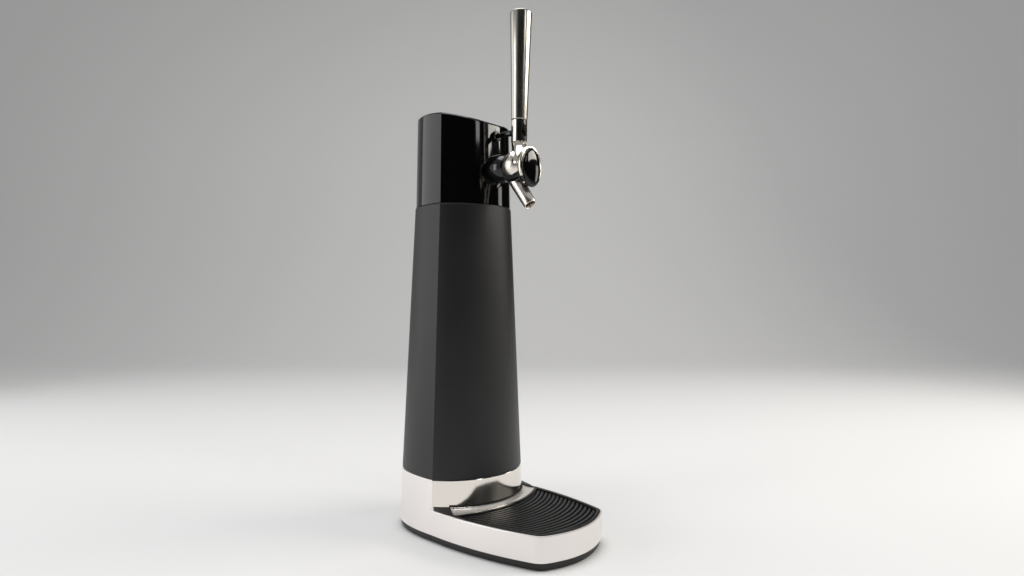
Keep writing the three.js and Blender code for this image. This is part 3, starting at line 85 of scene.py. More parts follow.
def add(tree, kind, settings=None, **links):
    """Adds a node with its settings and its links; a link from a node comes from its first output."""
    node = tree.nodes.new(kind)
    for key, value in (settings or {}).items():
        if isinstance(key, int) or key in node.inputs:
            node.inputs[key].default_value = value
        else:
            setattr(node, key, value)
    for name, source in links.items():
        slot = int(name[1:]) if name[0] == "_" and name[1:].isdigit() else name.replace("_", " ")
        tree.links.new(source.outputs[0] if isinstance(source, bpy.types.Node) else source, node.inputs[slot])
    return node


def new_material(name):
    material = bpy.data.materials.new(name)
    material.use_nodes = True
    material.node_tree.nodes.clear()
    return material, material.node_tree


def coated(material, surface):
    """Gives a material its surface and hands it back."""
    add(material.node_tree, "ShaderNodeOutputMaterial", None, Surface=surface)
    return material


def sheet_paint(name, colour):
    """Matt studio paint: it takes soft shadows and shows no gloss."""
    material, tree = new_material(name)
    return coated(material, add(tree, "ShaderNodeBsdfDiffuse", {"Color": linear(colour)}))


def studio_sheet():
    mesh = bpy.data.meshes.new("studio_sheet")
    profile = [(-2.6, 0.0), (1.5, 0.0)]
    profile += [(1.5 + 0.9 * math.sin(t * math.pi / 16), 0.9 - 0.9 * math.cos(t * math.pi / 16)) for t in range(1, 9)]
    profile += [(2.4, 3.4)]
    turn = -look_turn
    verts = []
    for reach, height in profile:
        for side in (-4.0, 4.0):
            verts.append((
                side * math.cos(turn) - reach * math.sin(turn),
                side * math.sin(turn) + reach * math.cos(turn),
                height,
            ))
    faces = [(2 * i, 2 * i + 1, 2 * i + 3, 2 * i + 2) for i in range(len(profile) - 1)]
    mesh.from_pydata(verts, [], faces)
    mesh.polygons.foreach_set("use_smooth", [True] * len(faces))
    sheet = new_object("studio_sheet", mesh)
    sheet.data.materials.append(sheet_paint("painted_studio_sheet", "#ebebeb"))
    return sheet


studio_sheet()


def soft_box(name, place, aim, size, power, tint="#ffffff"):
    data = bpy.data.lights.new(name, "AREA")
    data.shape = "RECTANGLE"
    data.size, data.size_y = size
    data.energy = power
    data.color = linear(tint)[:3]
    lamp = new_object(name, data)
    lamp.visible_camera = False
    lamp.location = place
    lamp.rotation_euler = (Vector(aim) - Vector(place)).to_track_quat("-Z", "Y").to_euler()


def round_about(turn, reach, height):
    """A place round the tower: 0 degrees is in front, minus is to the left."""
    angle = math.radians(turn)
    return (reach * math.sin(angle), tower_y - reach * math.cos(angle), height)


soft_box("left_soft_box", round_about(-114, 1.45, 0.5), (0, 0.03, 0.28), (0.5, 1.0), 5)
soft_box("back_left_soft_box", round_about(-150, 1.4, 0.5), (0, 0.04, 0.3), (0.75, 1.4), 3.6)
soft_box("front_soft_box", round_about(44, 1.45, 1.02), (0, -0.03, 0.34), (1.0, 0.44), 11, "#fffaf2")
soft_box("streak_soft_box", round_about(1, 1.6, 1.12), (0, 0, 0.36), (0.24, 0.42), 1.1)
soft_box("low_soft_box", round_about(60, 1.5, 0.5), (0, 0, 0.25), (0.3, 0.36), 0.9, "#fffaf4")
soft_box("top_soft_box", (-0.1, 0.1, 1.7), (0, 0.02, 0.2), (1.1, 1.1), 13.5)


def dark_flag():
    """A tall curved screen in front of the object that only reflections see."""
    turns = [math.radians(-84 + 194 * i / 30) for i in range(31)]
    verts = [(2.2 * math.sin(t), tower_y - 2.2 * math.cos(t), z) for z in (0.25, 2.2) for t in turns]
    faces = [(i, i + 1, i + 32, i + 31) for i in range(30)]
    mesh = bpy.data.meshes.new("dark_flag")
    mesh.from_pydata(verts, [], faces)
    flag = new_object("dark_flag", mesh)
    flag.visible_camera = False
    flag.visible_diffuse = False
    flag.visible_shadow = False
    material, tree = new_material("black_flag_cloth")
    weave = add(tree, "ShaderNodeTexNoise", {"Scale": 40.0})
    tone = add(tree, "ShaderNodeMix", {"data_type": "RGBA", 6: linear("#101010"), 7: linear("#262626")},
               _0=weave)
    cloth = add(tree, "ShaderNodeBsdfDiffuse", None, Color=tone.outputs[2])
    mesh.materials.append(coated(material, cloth))
    return flag


dark_flag()

world = bpy.data.worlds.new("studio_room")
bpy.context.scene.world = world
world.use_nodes = True
world.node_tree.nodes.clear()
room = add(world.node_tree, "ShaderNodeBackground", {"Color": linear("#cbcbcb"), "Strength": 0.55})
add(world.node_tree, "ShaderNodeOutputWorld", None, Surface=room)


# Base plinth: a black moulded pan that draws in towards the counter, held up to the core by four screws.
# Moulded ABS with a fine spark-eroded texture, so it reads as soft black.
base_top, body_top = 58.2, 322.7  # where the tower lifts off, and where the cap begins
tower_half, tower_bulge, tower_depth, crease_setback = 61.0, 35.7, 78.6, 14.3


def tower_outline(share, margin=0.0, front=56, back=92):
    """The tower's plan: a shallow front arc and a deep rounded back, which meet in an upright crease."""
    half, bulge, depth, setback, power = tower_half, tower_bulge, tower_depth, crease_setback, 2 / 2.74
    radius = (half * half + bulge * bulge) / (2 * bulge)
    span = math.asin(half / radius)
    points = []
    for i in range(front):
        turn = -span + 2 * span * i / front
        points.append((radius * math.sin(turn), radius - bulge - radius * math.cos(turn) - setback))
    for i in range(back):
        turn = math.pi * i / back
        c, s = math.cos(turn), math.sin(turn)
        x = half * math.copysign(abs(c) ** power, c)
        points.append((x, depth * s**power - setback))
    return inset([(x * share, y * share) for x, y in points], margin)


def inset(points, margin):
    """Moves every side of a closed outline inwards by a margin."""
    if not margin:
        return points
    moved = []
    count = len(points)
    for i, (x, y) in enumerate(points):
        (ax, ay), (bx, by) = points[i - 1], points[(i + 1) % count]
        first = Vector((ay - y, x - ax)).normalized()
        second = Vector((y - by, bx - x)).normalized()
        middle = first + second
        step = middle * (2 * margin / middle.length_squared)
        moved.append((x + step.x, y + step.y))
    return moved


def share_at(height):
    """How far the tower's plan has drawn in at a height."""
    return 1 - 0.192 * (height - base_top) / (body_top - base_top)


tray_half, tray_reach, tray_side_bulge, tray_front_bulge = 46.9, 133.8, 5.4, 14.4


def tray_outline(height, margin=0.0, radius=7.0, steps=40, corner_steps=14):
    """The tray end's plan: sides that bow out from the creases to two rounded corners and a bowed front."""
    half, crease = tower_half * share_at(height), -crease_setback * share_at(height)
    corner = Vector((-tray_half, -tray_reach))

    def bowed(start, end, bulge, count):
        along = end - start
        out = Vector((along.y, -along.x)).normalized()
        shares = [i / count for i in range(count + 1)]
        return [start + along * t + out * (4 * bulge * t * (1 - t)) for t in shares]

    side = bowed(Vector((-half, crease)), corner, tray_side_bulge, steps)
    front = bowed(corner, Vector((tray_half, -tray_reach)), tray_front_bulge, steps * 2)
    before = [p for p in side if (p - corner).length >= radius + 0.8]
    after = [p for p in front if (p - corner).length >= radius + 0.8 and p.x <= 0]
    start = corner + (before[-1] - corner).normalized() * radius
    end = corner + (after[0] - corner).normalized() * radius
    curve = []
    for i in range(corner_steps + 1):
        t = i / corner_steps
        curve.append(start * (1 - t) ** 2 + corner * (2 * t * (1 - t)) + end * t**2)
    left = [Vector((-half * 0.985, crease + 12)), *before, *curve, *after]
    right = [Vector((-p.x, p.y)) for p in reversed(left) if p.x < -1e-6]
    return inset([(p.x, p.y) for p in [*left, *right]], margin)


def spot(x, y, z):
    """A place in metres, from millimetres counted from the tower's axis."""
    return (x / 1000, y / 1000 + tower_y, z / 1000)


def place(points, height):
    return [spot(x, y, height) for x, y in points]


def closed_skin(name, verts, faces):
    """A piece from places in metres and faces, all of which are turned to look outwards."""
    mesh = bpy.data.meshes.new(name)
    mesh.from_pydata(verts, [], faces)
    form = bmesh.new()
    form.from_mesh(mesh)
    bmesh.ops.recalc_face_normals(form, faces=form.faces)
    form.to_mesh(mesh)
    form.free()
    return new_object(name, mesh)


def skin(name, rings, crown=0):
    """A closed skin through rings of points. A crowned top is closed by strips from side to side."""
    count = len(rings[0])
    faces = []
    for r in range(len(rings) - 1):
        for i in range(count):
            a, b = r * count + i, r * count + (i + 1) % count
            faces.append((a, b, b + count, a + count))
    last = (len(rings) - 1) * count
    faces.append(tuple(reversed(range(count))))
    if crown:
        for k in range(crown // 2, (crown - count) // 2, -1):
            strip = [k % count, (crown - k) % count, (crown - k + 1) % count, (k - 1) % count]
            faces.append([last + i for i in dict.fromkeys(strip)])
    else:
        faces.append(tuple(range(last, last + count)))
    return closed_skin(name, [p for ring in rings for p in ring], faces)


def cut(piece, tool, how="DIFFERENCE"):
    """Cuts a piece by a tool, or joins them, and drops the tool."""
    change = piece.modifiers.new("cut", "BOOLEAN")
    change.operation = how
    change.solver = "EXACT"
    change.object = tool
    result = bpy.data.meshes.new_from_object(piece.evaluated_get(bpy.context.evaluated_depsgraph_get()))
    piece.modifiers.clear()
    old = piece.data
    piece.data = result
    bpy.data.meshes.remove(old)
    bpy.data.objects.remove(tool)
    return piece


def smooth(piece, degrees=32):
    """Smooth shading, but for edges that turn by more than an angle."""
    piece.data.polygons.foreach_set("use_smooth", [True] * len(piece.data.polygons))
    piece.data.set_sharp_from_angle(angle=math.radians(degrees))


def textured_material(name):
    """A new material, its tree, and the place on the piece that its textures follow."""
    material, tree = new_material(name)
    return material, tree, add(tree, "ShaderNodeTexCoord").outputs["Object"]


def moulded_abs(name, colour, roughness, grain_mm, depth, variation=0.04):
    """ABS: the mould's texture breaks the highlight up, and thin wall spots vary a little in gloss."""
    material, tree, where = textured_material(name)
    grain = add(tree, "ShaderNodeTexNoise", {"Scale": 1000 / grain_mm, "Detail": 3.0}, Vector=where)
    cloud = add(tree, "ShaderNodeTexNoise", {"Scale": 18.0, "Detail": 2.0}, Vector=where)
    gloss = add(tree, "ShaderNodeMapRange", {3: roughness - variation, 4: roughness + variation}, Value=cloud)
    bump = add(tree, "ShaderNodeBump", {"Strength": depth, "Distance": 0.0003}, Height=grain)
    surface = add(tree, "ShaderNodeBsdfPrincipled", {"Base Color": linear(colour), "IOR": 1.53},
                  Roughness=gloss, Normal=bump)
    return coated(material, surface)


def tower_skin(name, rings):
    """A skin on the tower's plan, from pairs of a height and a margin."""
    return skin(name, [place(tower_outline(share_at(h), m), h) for h, m in rings])


def tray_skin(name, rings, radius=7.0):
    """A skin on the tray end's plan, from pairs of a height and a margin."""
    return skin(name, [place(tray_outline(h, m, radius), h) for h, m in rings])


def finish_piece(piece, material, body, slot, *nodes, degrees=32):
    """Gives a piece its material and shading, hides the frame's nodes that it replaces, and hangs it on the body that
    it moves with.
    """
    piece.data.materials.clear()
    piece.data.materials.append(material)
    smooth(piece, degrees)
    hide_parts(*nodes)
    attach(piece, body)


black_abs = moulded_abs("moulded_black_abs", "#141414", 0.5, 0.9, 0.18)
plinth_rings = [(0.4, 4.2), (0.55, 3.2), (1.2, 2.5), (2.6, 1.9), (4.4, 1.5), (6.6, 1.15), (7.0, 1.3)]
plinth = tower_skin("base_plinth_moulding", plinth_rings)
plinth = cut(plinth, tray_skin("plinth_tray", plinth_rings), "UNION")
finish_piece(plinth, black_abs, "base", "black_plastic", "base_plinth")


# Silver shroud: one thin cast skin round the tower's foot and the tray end, clamped between core and
# plinth. Its outside is satin pearl silver, the wall above the tray is polished, and the cove at the wall's
# foot is buffed; its paler, less metallic silver is a painted highlight, so that it shows as one light band.
def eased(low, high, edge):
    """Heights and margins of a wall whose two rims are rounded over."""
    foot = [(low, edge), (low + edge * 0.3, edge * 0.3), (low + edge, 0.0)]
    return foot + [(high - edge, 0.0), (high - edge * 0.3, edge * 0.3), (high, edge)]


def satin_metal(name, colour, roughness, grain_mm, stretch=(1, 1, 1), depth=0.1, metallic=1.0):
    """Metal with a worked surface: fine marks spread the highlight, and its gloss drifts from place to place."""
    material, tree, where = textured_material(name)
    along = add(tree, "ShaderNodeMapping", {"Scale": stretch}, Vector=where)
    marks = add(tree, "ShaderNodeTexNoise", {"Scale": 1000 / grain_mm, "Detail": 4.0}, Vector=along)
    cloud = add(tree, "ShaderNodeTexNoise", {"Scale": 22.0, "Detail": 2.0}, Vector=where)
    drift = add(tree, "ShaderNodeMath", {"operation": "MULTIPLY_ADD", 1: 0.35}, _0=cloud, _2=marks)
    gloss = add(tree, "ShaderNodeMapRange", {1: 0.2, 2: 1.1, 3: roughness * 0.8, 4: roughness * 1.25},
                Value=drift)
    bump = add(tree, "ShaderNodeBump", {"Strength": depth, "Distance": 0.0002}, Height=marks)
    surface = add(tree, "ShaderNodeBsdfPrincipled", {"Base Color": linear(colour), "Metallic": metallic},
                  Roughness=gloss, Normal=bump)
    return coated(material, surface)


pearl_silver = satin_metal("satin_pearl_silver", "#f6f1ee", 0.36, 0.5, depth=0.12, metallic=0.8)
# The cove's paler colour and lower metallic share are a painted highlight: they make it read as one light band.
buffed_and_painted_bright_silver = satin_metal("buffed_cove_silver", "#fbf6f0", 0.24, 1.6, depth=0.012, metallic=0.75)
polished_silver = satin_metal("mirror_polished_silver", "#eae4dd", 0.09, 1.6, depth=0.03)

shroud_foot, tray_top, shroud_wall = 7.3, 30.3, 1.6
shroud = tower_skin("silver_shroud", eased(shroud_foot, base_top, 0.5))
shroud = cut(shroud, tray_skin("tray_wall", eased(shroud_foot, tray_top, 0.6)), "UNION")
tray_hollow = tray_skin("tray_hollow", [(5.3, shroud_wall), (32.3, shroud_wall)], radius=4.0)
tray_hollow = cut(tray_hollow, tower_skin("tower_keep", [(3.3, 0.0), (base_top, 0.0)]))
shroud = cut(shroud, tray_hollow)
shroud = cut(shroud, tower_skin("tower_hollow", [(5.3, shroud_wall), (60.2, shroud_wall)]))
finish_piece(shroud, pearl_silver, "base", "silver_finish", "base_shroud", degrees=17)
shroud.data.materials.append(polished_silver)
# The polished wall is every face that looks forwards, above the tray's rim and on the tower's front arc.
for face in shroud.data.polygons:
    front = face.normal.y < -0.25 and face.center.z > 0.0300 and face.center.y > tower_y - 0.051
    face.material_index = 1 if front else 0


cove_radius, cove_centre = 115.0, 57.5  # the arc of the grille's back edge


def cove_sections(steps=72, hollow_steps=10):
    """Upright sections of the cove, from the wall's arc out to the arc of the grille's back edge."""
    radius = (tower_half**2 + tower_bulge**2) / (2 * tower_bulge)
    share = share_at(35.6)
    span = math.asin(tower_half / radius)
    sunk = 0.8  # the cove starts a little inside the wall's face
    sections = []
    for i in range(steps + 1):
        turn = -span + 2 * span * i / steps
        in_x = (radius * share - sunk) * math.sin(turn)
        in_y = (radius - tower_bulge - crease_setback) * share - (radius * share - sunk) * math.cos(turn)
        out_x = in_x * (1 + sunk / radius)
        out_y = cove_centre - math.sqrt(cove_radius**2 - out_x**2)
        line = [(0.0, 25.7), (1.0, 25.7), (1.0, 29.7), (0.985, 29.95), (0.95, 30.15)]
        line += [(1 - t, 30.2 + 3.7 * t * t) for t in (k / hollow_steps for k in range(1, hollow_steps + 1))]
        sections.append([spot(in_x + (out_x - in_x) * t, in_y + (out_y - in_y) * t, z) for t, z in line])
    return sections


cove = skin("polished_cove", cove_sections())
cove = cut(cove, tray_skin("cove_bounds", [(23.7, 0.9), (38.0, 0.9)]), "INTERSECT")


def slanted_end(name, side, gap):
    """All that lies beyond the slanted line at which the cove ends and the grille's horn begins."""
    start, end = Vector((50.5, -27.3)), Vector((56.6, -38.4))
    along = (end - start).normalized()
    out = Vector((-along.y, along.x))
    near, far = start - along * 14 + out * gap, end + along * 14 + out * gap
    plan = [near, far, far + out * 30, near + out * 30]
    return skin(name, [[spot(side * p.x, p.y, z) for p in plan] for z in (20, 42)])


for side in (-1, 1):
    cove = cut(cove, slanted_end("cove_end", side, 0.0))
finish_piece(cove, buffed_and_painted_bright_silver, "base", "silver_finish", "base_shroud", degrees=40)


# Core: the black moulded floor of the bottle chamber with its wall and the spigot that the body slides
# over, a clear silicone gasket round the spigot, and the ribbed rubber pad that the bottle stands on.
silicone = moulded_abs("cast_clear_silicone", "#c9cdcf", 0.34, 0.6, 0.08)
soft_rubber = moulded_abs("moulded_black_rubber", "#101010", 0.8, 0.35, 0.3, 0.06)


def dress(material, *names):
    """Gives nodes of the frame whose shape is right their real finish."""
    for name in names:
        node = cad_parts[name]
        node.data.materials.clear()
        node.data.materials.append(material)


dress(black_abs, "base_core")
dress(silicone, "base_gasket")


def turned_skin(name, profile, sides, where, along=Vector((0, 0, 1))):
    """A turned skin from [radius, distance] pairs in millimetres, about an axis through a place in metres."""
    rest = Vector((0, 0, 1)).rotation_difference(along)
    verts, faces, rings = [], [], []
    for radius, reach in profile:
        if radius == 0:
            rings.append([len(verts)])
            verts.append((0, 0, reach / 1000))
            continue
        rings.append(list(range(len(verts), len(verts) + sides)))
        for i in range(sides):
            turn = 2 * math.pi * i / sides
            verts.append((radius * math.cos(turn) / 1000, radius * math.sin(turn) / 1000, reach / 1000))
    for low, high in zip(rings, rings[1:]):
        for i in range(sides):
            j = (i + 1) % sides
            corners = [low[i % len(low)], low[j % len(low)], high[j % len(high)], high[i % len(high)]]
            corners = list(dict.fromkeys(corners))
            if len(corners) > 2:
                faces.append(corners)
    return closed_skin(name, [rest @ Vector(v) + Vector(where) for v in verts], faces)


def post(radius, low, high):
    """The profile of a plain round post, or of the cutter for a plain bore."""
    return [(0, low), (radius, low), (radius, high), (0, high)]


def seat_profile():
    """The pad's top has round grooves, so that the bottle doesn't stick to it when it is wet."""
    profile = [(0, 12.3), (40.6, 12.3), (41, 12.7), (41, 15.9), (40.6, 16.3), (39.4, 16.3), (39, 15.9), (39, 14.3)]
    for radius in (34, 28, 22, 16, 10):
        profile += [(radius + 1.0, 14.3), (radius + 0.7, 13.6), (radius - 0.7, 13.6), (radius - 1.0, 14.3)]
    return [*profile, (0, 14.3)]


seat = turned_skin("bottle_seat_pad", seat_profile(), 72, (0, tower_y + 0.006, 0))
finish_piece(seat, soft_rubber, "base", "rubber", "bottle_seat", degrees=25)


# Drip pan and grille: a black dish laid in the tray end, and on it a moulded black grille whose ribs bow with
# the tray's front edge. Its rim climbs to the wall in a horn beside each end of the cove, and a thin black strip
# of it along the wall's foot is a painted shadow line. The ribs' tops catch a thin line of light.
def behind_cove(name, extra, low, high):
    """A round column about the cove's centre: all that lies behind the grille's back edge, and a bit more."""
    return turned_skin(name, post(cove_radius + extra, low, high), 300, spot(0, cove_centre, 0))


def tray_column(name, margin, rings):
    """A straight column of the tray's rim plan, whose own edges may draw in by a further margin."""
    return skin(name, [place(tray_outline(tray_top, margin + extra, 4.0), height) for height, extra in rings])


grille_abs = moulded_abs("fine_moulded_grille_abs", "#0f0f0f", 0.42, 0.5, 0.14)
pan = tray_column("drip_pan_dish", 2.0, [(7.3, 0.8), (7.6, 0.25), (8.1, 0.0), (24.2, 0.0), (24.6, 0.3)])
pan = cut(pan, behind_cove("pan_back", 0.7, 5.3, 26.6))
pan_hollow = tray_column("pan_hollow", 3.6, [(8.9, 1.2), (9.3, 0.35), (10.0, 0.0), (26.6, 0.0)])
pan_hollow = cut(pan_hollow, behind_cove("pan_hollow_back", 2.3, 7.3, 28.6))
pan = cut(pan, pan_hollow)
finish_piece(pan, black_abs, "drip_pan", "black_plastic", "drip_pan")

rim = tray_column("drip_grille_rim", 2.0, [(24.9, 0.0), (tray_top, 0.0), (30.7, 0.15), (30.9, 0.55)])
rim = cut(rim, tray_column("rim_hole", 5.5, [(22.9, 0.0), (30.45, 0.0), (30.95, -0.4), (32.9, -0.4)]))
rim = cut(rim, behind_cove("rim_back", 0.4, 22.3, 33.3))
back_bar = tray_column("grille_back_bar", 3.1, [(25.1, 0.0), (30.35, 0.0), (30.75, 0.3)])
back_bar = cut(back_bar, behind_cove("bar_front", 3.0, 20.9, 34.9), "INTERSECT")
back_bar = cut(back_bar, behind_cove("bar_back", 0.43, 20.4, 35.4))
rim = cut(rim, back_bar, "UNION")


def horn_slope(x, y):
    """Height of the horns' top: it climbs from the tray's edge to the wall, as the cove does between them."""
    return 51.63 - 0.2443 * x + 0.172 * y


for side in (-1, 1):
    plan = [(30.0, 0.0), (30.0, -60.0), (66.0, -60.0), (66.0, 0.0)]
    under = [[spot(side * x, y, 20.0) for x, y in plan], [spot(side * x, y, horn_slope(x, y)) for x, y in plan]]
    horn = tray_column("grille_horn", 2.0, [(25.4, 0.0), (30.8, 0.0), (30.85, -1.2), (37.0, -1.2)])
    horn = cut(horn, skin("horn_top", under), "INTERSECT")
    horn = cut(horn, slanted_end("horn_bounds", side, 0.4), "INTERSECT")
    horn = cut(horn, tower_skin("horn_wall", [(20, -0.4), (42, -0.4)]))
    rim = cut(rim, horn, "UNION")
# A thin black strip along the wall's foot: a painted shadow line between the wall and the cove.
shadow_line_strip = tower_skin("grille_wall_lip", [(33.5, -1.1), (35.3, -1.1), (35.5, -0.9)])
shadow_line_strip = cut(shadow_line_strip, tower_skin("lip_wall", [(32, -0.4), (42, -0.4)]))
shadow_line_plan = [(-52.5, -25.2), (-52.5, -70), (52.5, -70), (52.5, -25.2)]
lip_front = skin("lip_front", [place(shadow_line_plan, z) for z in (30, 40)])
rim = cut(rim, cut(shadow_line_strip, lip_front, "INTERSECT"), "UNION")


def open_tree(name, inputs, result):
    """A Geometry Nodes tree with named inputs (None stands for geometry) and one named result."""
    tree = bpy.data.node_groups.new(name, "GeometryNodeTree")
    kinds = {int: "NodeSocketInt", float: "NodeSocketFloat", type(None): "NodeSocketGeometry"}
    for label, value in inputs.items():
        socket = tree.interface.new_socket(label, in_out="INPUT", socket_type=kinds[type(value)])
        if value is not None:
            socket.default_value = value
    tree.interface.new_socket(result, in_out="OUTPUT", socket_type="NodeSocketGeometry")
    return tree, add(tree, "NodeGroupInput")


def close_tree(tree, copies, material):
    """Turns the copies into real geometry, gives it its material and hands it out."""
    real = add(tree, "GeometryNodeRealizeInstances", None, Geometry=copies)
    painted = add(tree, "GeometryNodeSetMaterial", {"Material": material}, Geometry=real)
    out = add(tree, "NodeGroupOutput")
    tree.links.new(painted.outputs[0], out.inputs[0])
    return tree


def rib_tree(material):
    """One bowed rib, swept along an arc of the tray's front and repeated towards the tower."""
    inputs = {"Rib Pitch": 0.005, "Rib Count": 18, "Front Place": -0.101, "Bow Radius": 0.0836}
    tree, given = open_tree("bowed_grille_ribs", inputs, "Ribs")
    arc = add(tree, "GeometryNodeCurveArc",
              {"Resolution": 49, "Start Angle": math.radians(225), "Sweep Angle": math.radians(90)},
              Radius=given.outputs["Bow Radius"])
    section = add(tree, "GeometryNodeCurvePrimitiveQuadrilateral", {"Width": 0.003, "Height": 0.0022})
    softened = add(tree, "GeometryNodeFilletCurve", {"mode": "POLY", "Count": 2, "Radius": 0.0004},
                   Curve=section)
    bar = add(tree, "GeometryNodeCurveToMesh", {"Fill Caps": True}, Curve=arc, Profile_Curve=softened)
    step = add(tree, "ShaderNodeCombineXYZ", None, Y=given.outputs["Rib Pitch"])
    start = add(tree, "ShaderNodeCombineXYZ", {"Z": 0.0284}, Y=given.outputs["Front Place"])
    line = add(tree, "GeometryNodeMeshLine", {"mode": "OFFSET"}, Count=given.outputs["Rib Count"],
               Start_Location=start, Offset=step)
    ribs = add(tree, "GeometryNodeInstanceOnPoints", None, Points=line, Instance=bar)
    return close_tree(tree, ribs, material)


def grown(name, tree, places=None, **values):
    """Runs a Geometry Nodes tree once, from given points or none, and keeps its result as a plain mesh."""
    holder = new_object(name, places or bpy.data.meshes.new(name))
    change = holder.modifiers.new("grown", "NODES")
    change.node_group = tree
    for item in tree.interface.items_tree:
        key = item.name.lower().replace(" ", "_")
        if key in values:
            change[item.identifier] = values[key]
    mesh = bpy.data.meshes.new_from_object(holder.evaluated_get(bpy.context.evaluated_depsgraph_get()))
    holder.modifiers.clear()
    old = holder.data
    holder.data = mesh
    bpy.data.meshes.remove(old)
    return holder


rib_pitch, rib_flattening, rim_width = 5.0, 1.12, 5.5
bow_radius = rib_flattening * (tray_half**2 + tray_front_bulge**2) / (2 * tray_front_bulge)
frontmost = -tray_reach - tray_front_bulge + rim_width + rib_pitch
ribs = grown(
    "drip_grille_ribs",
    rib_tree(grille_abs),
    rib_pitch=rib_pitch / 1000,
    rib_count=int((cove_centre - cove_radius - frontmost) / rib_pitch) + 1,
    front_place=(frontmost + bow_radius) / 1000 + tower_y,
    bow_radius=bow_radius / 1000,
)
for x in (-20, 20):
    bar = bpy.data.meshes.new("cross_bar")
    form = bmesh.new()
    bmesh.ops.create_cube(form, size=1)
    bmesh.ops.scale(form, vec=(0.002, 0.12, 0.0026), verts=form.verts)
    bmesh.ops.translate(form, vec=(x / 1000, tower_y - 0.1, 0.0267), verts=form.verts)
    form.to_mesh(bar)
    form.free()
    ribs = cut(ribs, new_object("cross_bar", bar), "UNION")
rib_bounds = tray_column("rib_bounds", 4.2, [(22.9, 0.0), (32.9, 0.0)])
rib_bounds = cut(rib_bounds, behind_cove("rib_bounds_back", 1.7, 20.9, 34.9))
ribs = cut(ribs, rib_bounds, "INTERSECT")
for piece in (rim, ribs):
    finish_piece(piece, grille_abs, "drip_grille", "black_plastic", "drip_grille")


# Body: a tapered moulded shell, open below, that slides down over the core's spigot and lifts off to take
# a bottle. Matt charcoal: the mould's fine spark texture turns every reflection into a soft sheen.
matt_charcoal = moulded_abs("spark_textured_charcoal_abs", "#0e0e0f", 0.44, 0.7, 0.22, 0.05)
body = tower_skin("body_shell_moulding", eased(58.5, body_top, 0.7))
body = cut(body, tower_skin("body_hollow", [(56.5, 2.2), (319.7, 2.2)]))
lip = [place(tower_outline(share_at(h), 10.0, 20, 30), h) for h in (317.7, 324.7)]
body = cut(body, skin("body_top_opening", lip))

cap_screw_places = [(x * side, y) for x, y in [(42.3, 0.4), (29.0, 37.5)] for side in (-1, 1)]
for x, y in cap_screw_places:
    body = cut(body, turned_skin("screw_hole", post(1.8, 315, 326), 16, spot(x, y, 0)))
finish_piece(body, matt_charcoal, "tower", "body_plastic", "body_shell", degrees=17)


# Cap: a gloss black shell over the works, with a crowned top and a softly rolled rim. The fascia stands in
# its U-shaped front opening; the battery door and the power inlet sit in its back.
def gloss_abs(name, colour, roughness=0.05):
    """High-gloss moulded ABS: a mirror-like skin with the faint waviness of a moulding and a few fine scuffs."""
    material, tree, where = textured_material(name)
    wave = add(tree, "ShaderNodeTexNoise", {"Scale": 28.0, "Detail": 1.0}, Vector=where)
    scuff = add(tree, "ShaderNodeTexNoise", {"Scale": 900.0, "Detail": 4.0}, Vector=where)
    gloss = add(tree, "ShaderNodeMapRange", {1: 0.35, 2: 0.75, 3: roughness, 4: roughness * 2.2}, Value=scuff)
    bump = add(tree, "ShaderNodeBump", {"Strength": 0.12, "Distance": 0.0004}, Height=wave)
    surface = add(tree, "ShaderNodeBsdfPrincipled", {"Base Color": linear(colour), "IOR": 1.53},
                  Roughness=gloss, Normal=bump)
    return coated(material, surface)


gloss_black = gloss_abs("high_gloss_black_abs", "#060606")


def cap_plan(share, margin=0.0):
    """The tower's plan, drawn in to the cap's size."""
    return inset([(x * share, y * share) for x, y in tower_outline(1.0)], margin)


def cap_share(height):
    """The cap goes on drawing in above the body, a little less steeply."""
    return 0.798 - 0.021 * (height - body_top) / 86.8


def cap_top(y):
    """The top falls away towards the front in a curve, and is level behind its crest."""
    return 414.5 - 9.9 * (max(0.0, 20.0 - y) / 58.25) ** 2 + 0.03 * max(0.0, y - 20.0)


def cap_skin(name, foot, margin, drop, rim=0.0, steps=6, foot_edge=0.0):
    """A block of the cap with its crowned top, whose rim is rolled over by a quarter round."""
    rings = []
    for height, extra in [(foot, foot_edge), (foot + foot_edge, 0.0)][0 if foot_edge else 1:]:
        rings.append(place(cap_plan(cap_share(height), margin + extra), height))
    for i in range(steps + 1 if rim else 1):
        turn = math.pi / 2 * i / steps
        level, extra = (rim * (1 - math.sin(turn)), rim * (1 - math.cos(turn))) if rim else (0.0, 0.0)
        rings.append([spot(x, y, cap_top(y) - drop - level) for x, y in cap_plan(0.777, margin + extra)])
    return skin(name, rings, crown=56)


def upright_prism(name, outline, front, back):
    """A prism of an outline drawn in the upright X-Z plane, between two places along Y from the tower's axis."""
    return skin(name, [[spot(x, y, z) for x, z in outline] for y in (front, back)])


tap_height, tap_reach, rod_height = 358.3, 67.5, 391.5  # the ball's centre, and the push rod above it


def u_outline(half, steps=48):
    """A half round below the tap's height, open to well above the cap."""
    turns = [math.pi + math.pi * i / steps for i in range(steps + 1)]
    return [(half * math.cos(t), tap_height + half * math.sin(t)) for t in turns] + [(half, 430), (-half, 430)]


def rounded_box(half, low, high, corner, steps=6):
    """An upright box from -half to half with rounded corners."""
    points = []
    for cx, cz, start in [(half, low, -90), (half, high, 0), (-half, high, 90), (-half, low, 180)]:
        for i in range(steps + 1):
            turn = math.radians(start + 90 * i / steps)
            ox = cx - math.copysign(corner, cx)
            oz = cz + corner if cz == low else cz - corner
            points.append((ox + corner * math.cos(turn), oz + corner * math.sin(turn)))
    return points


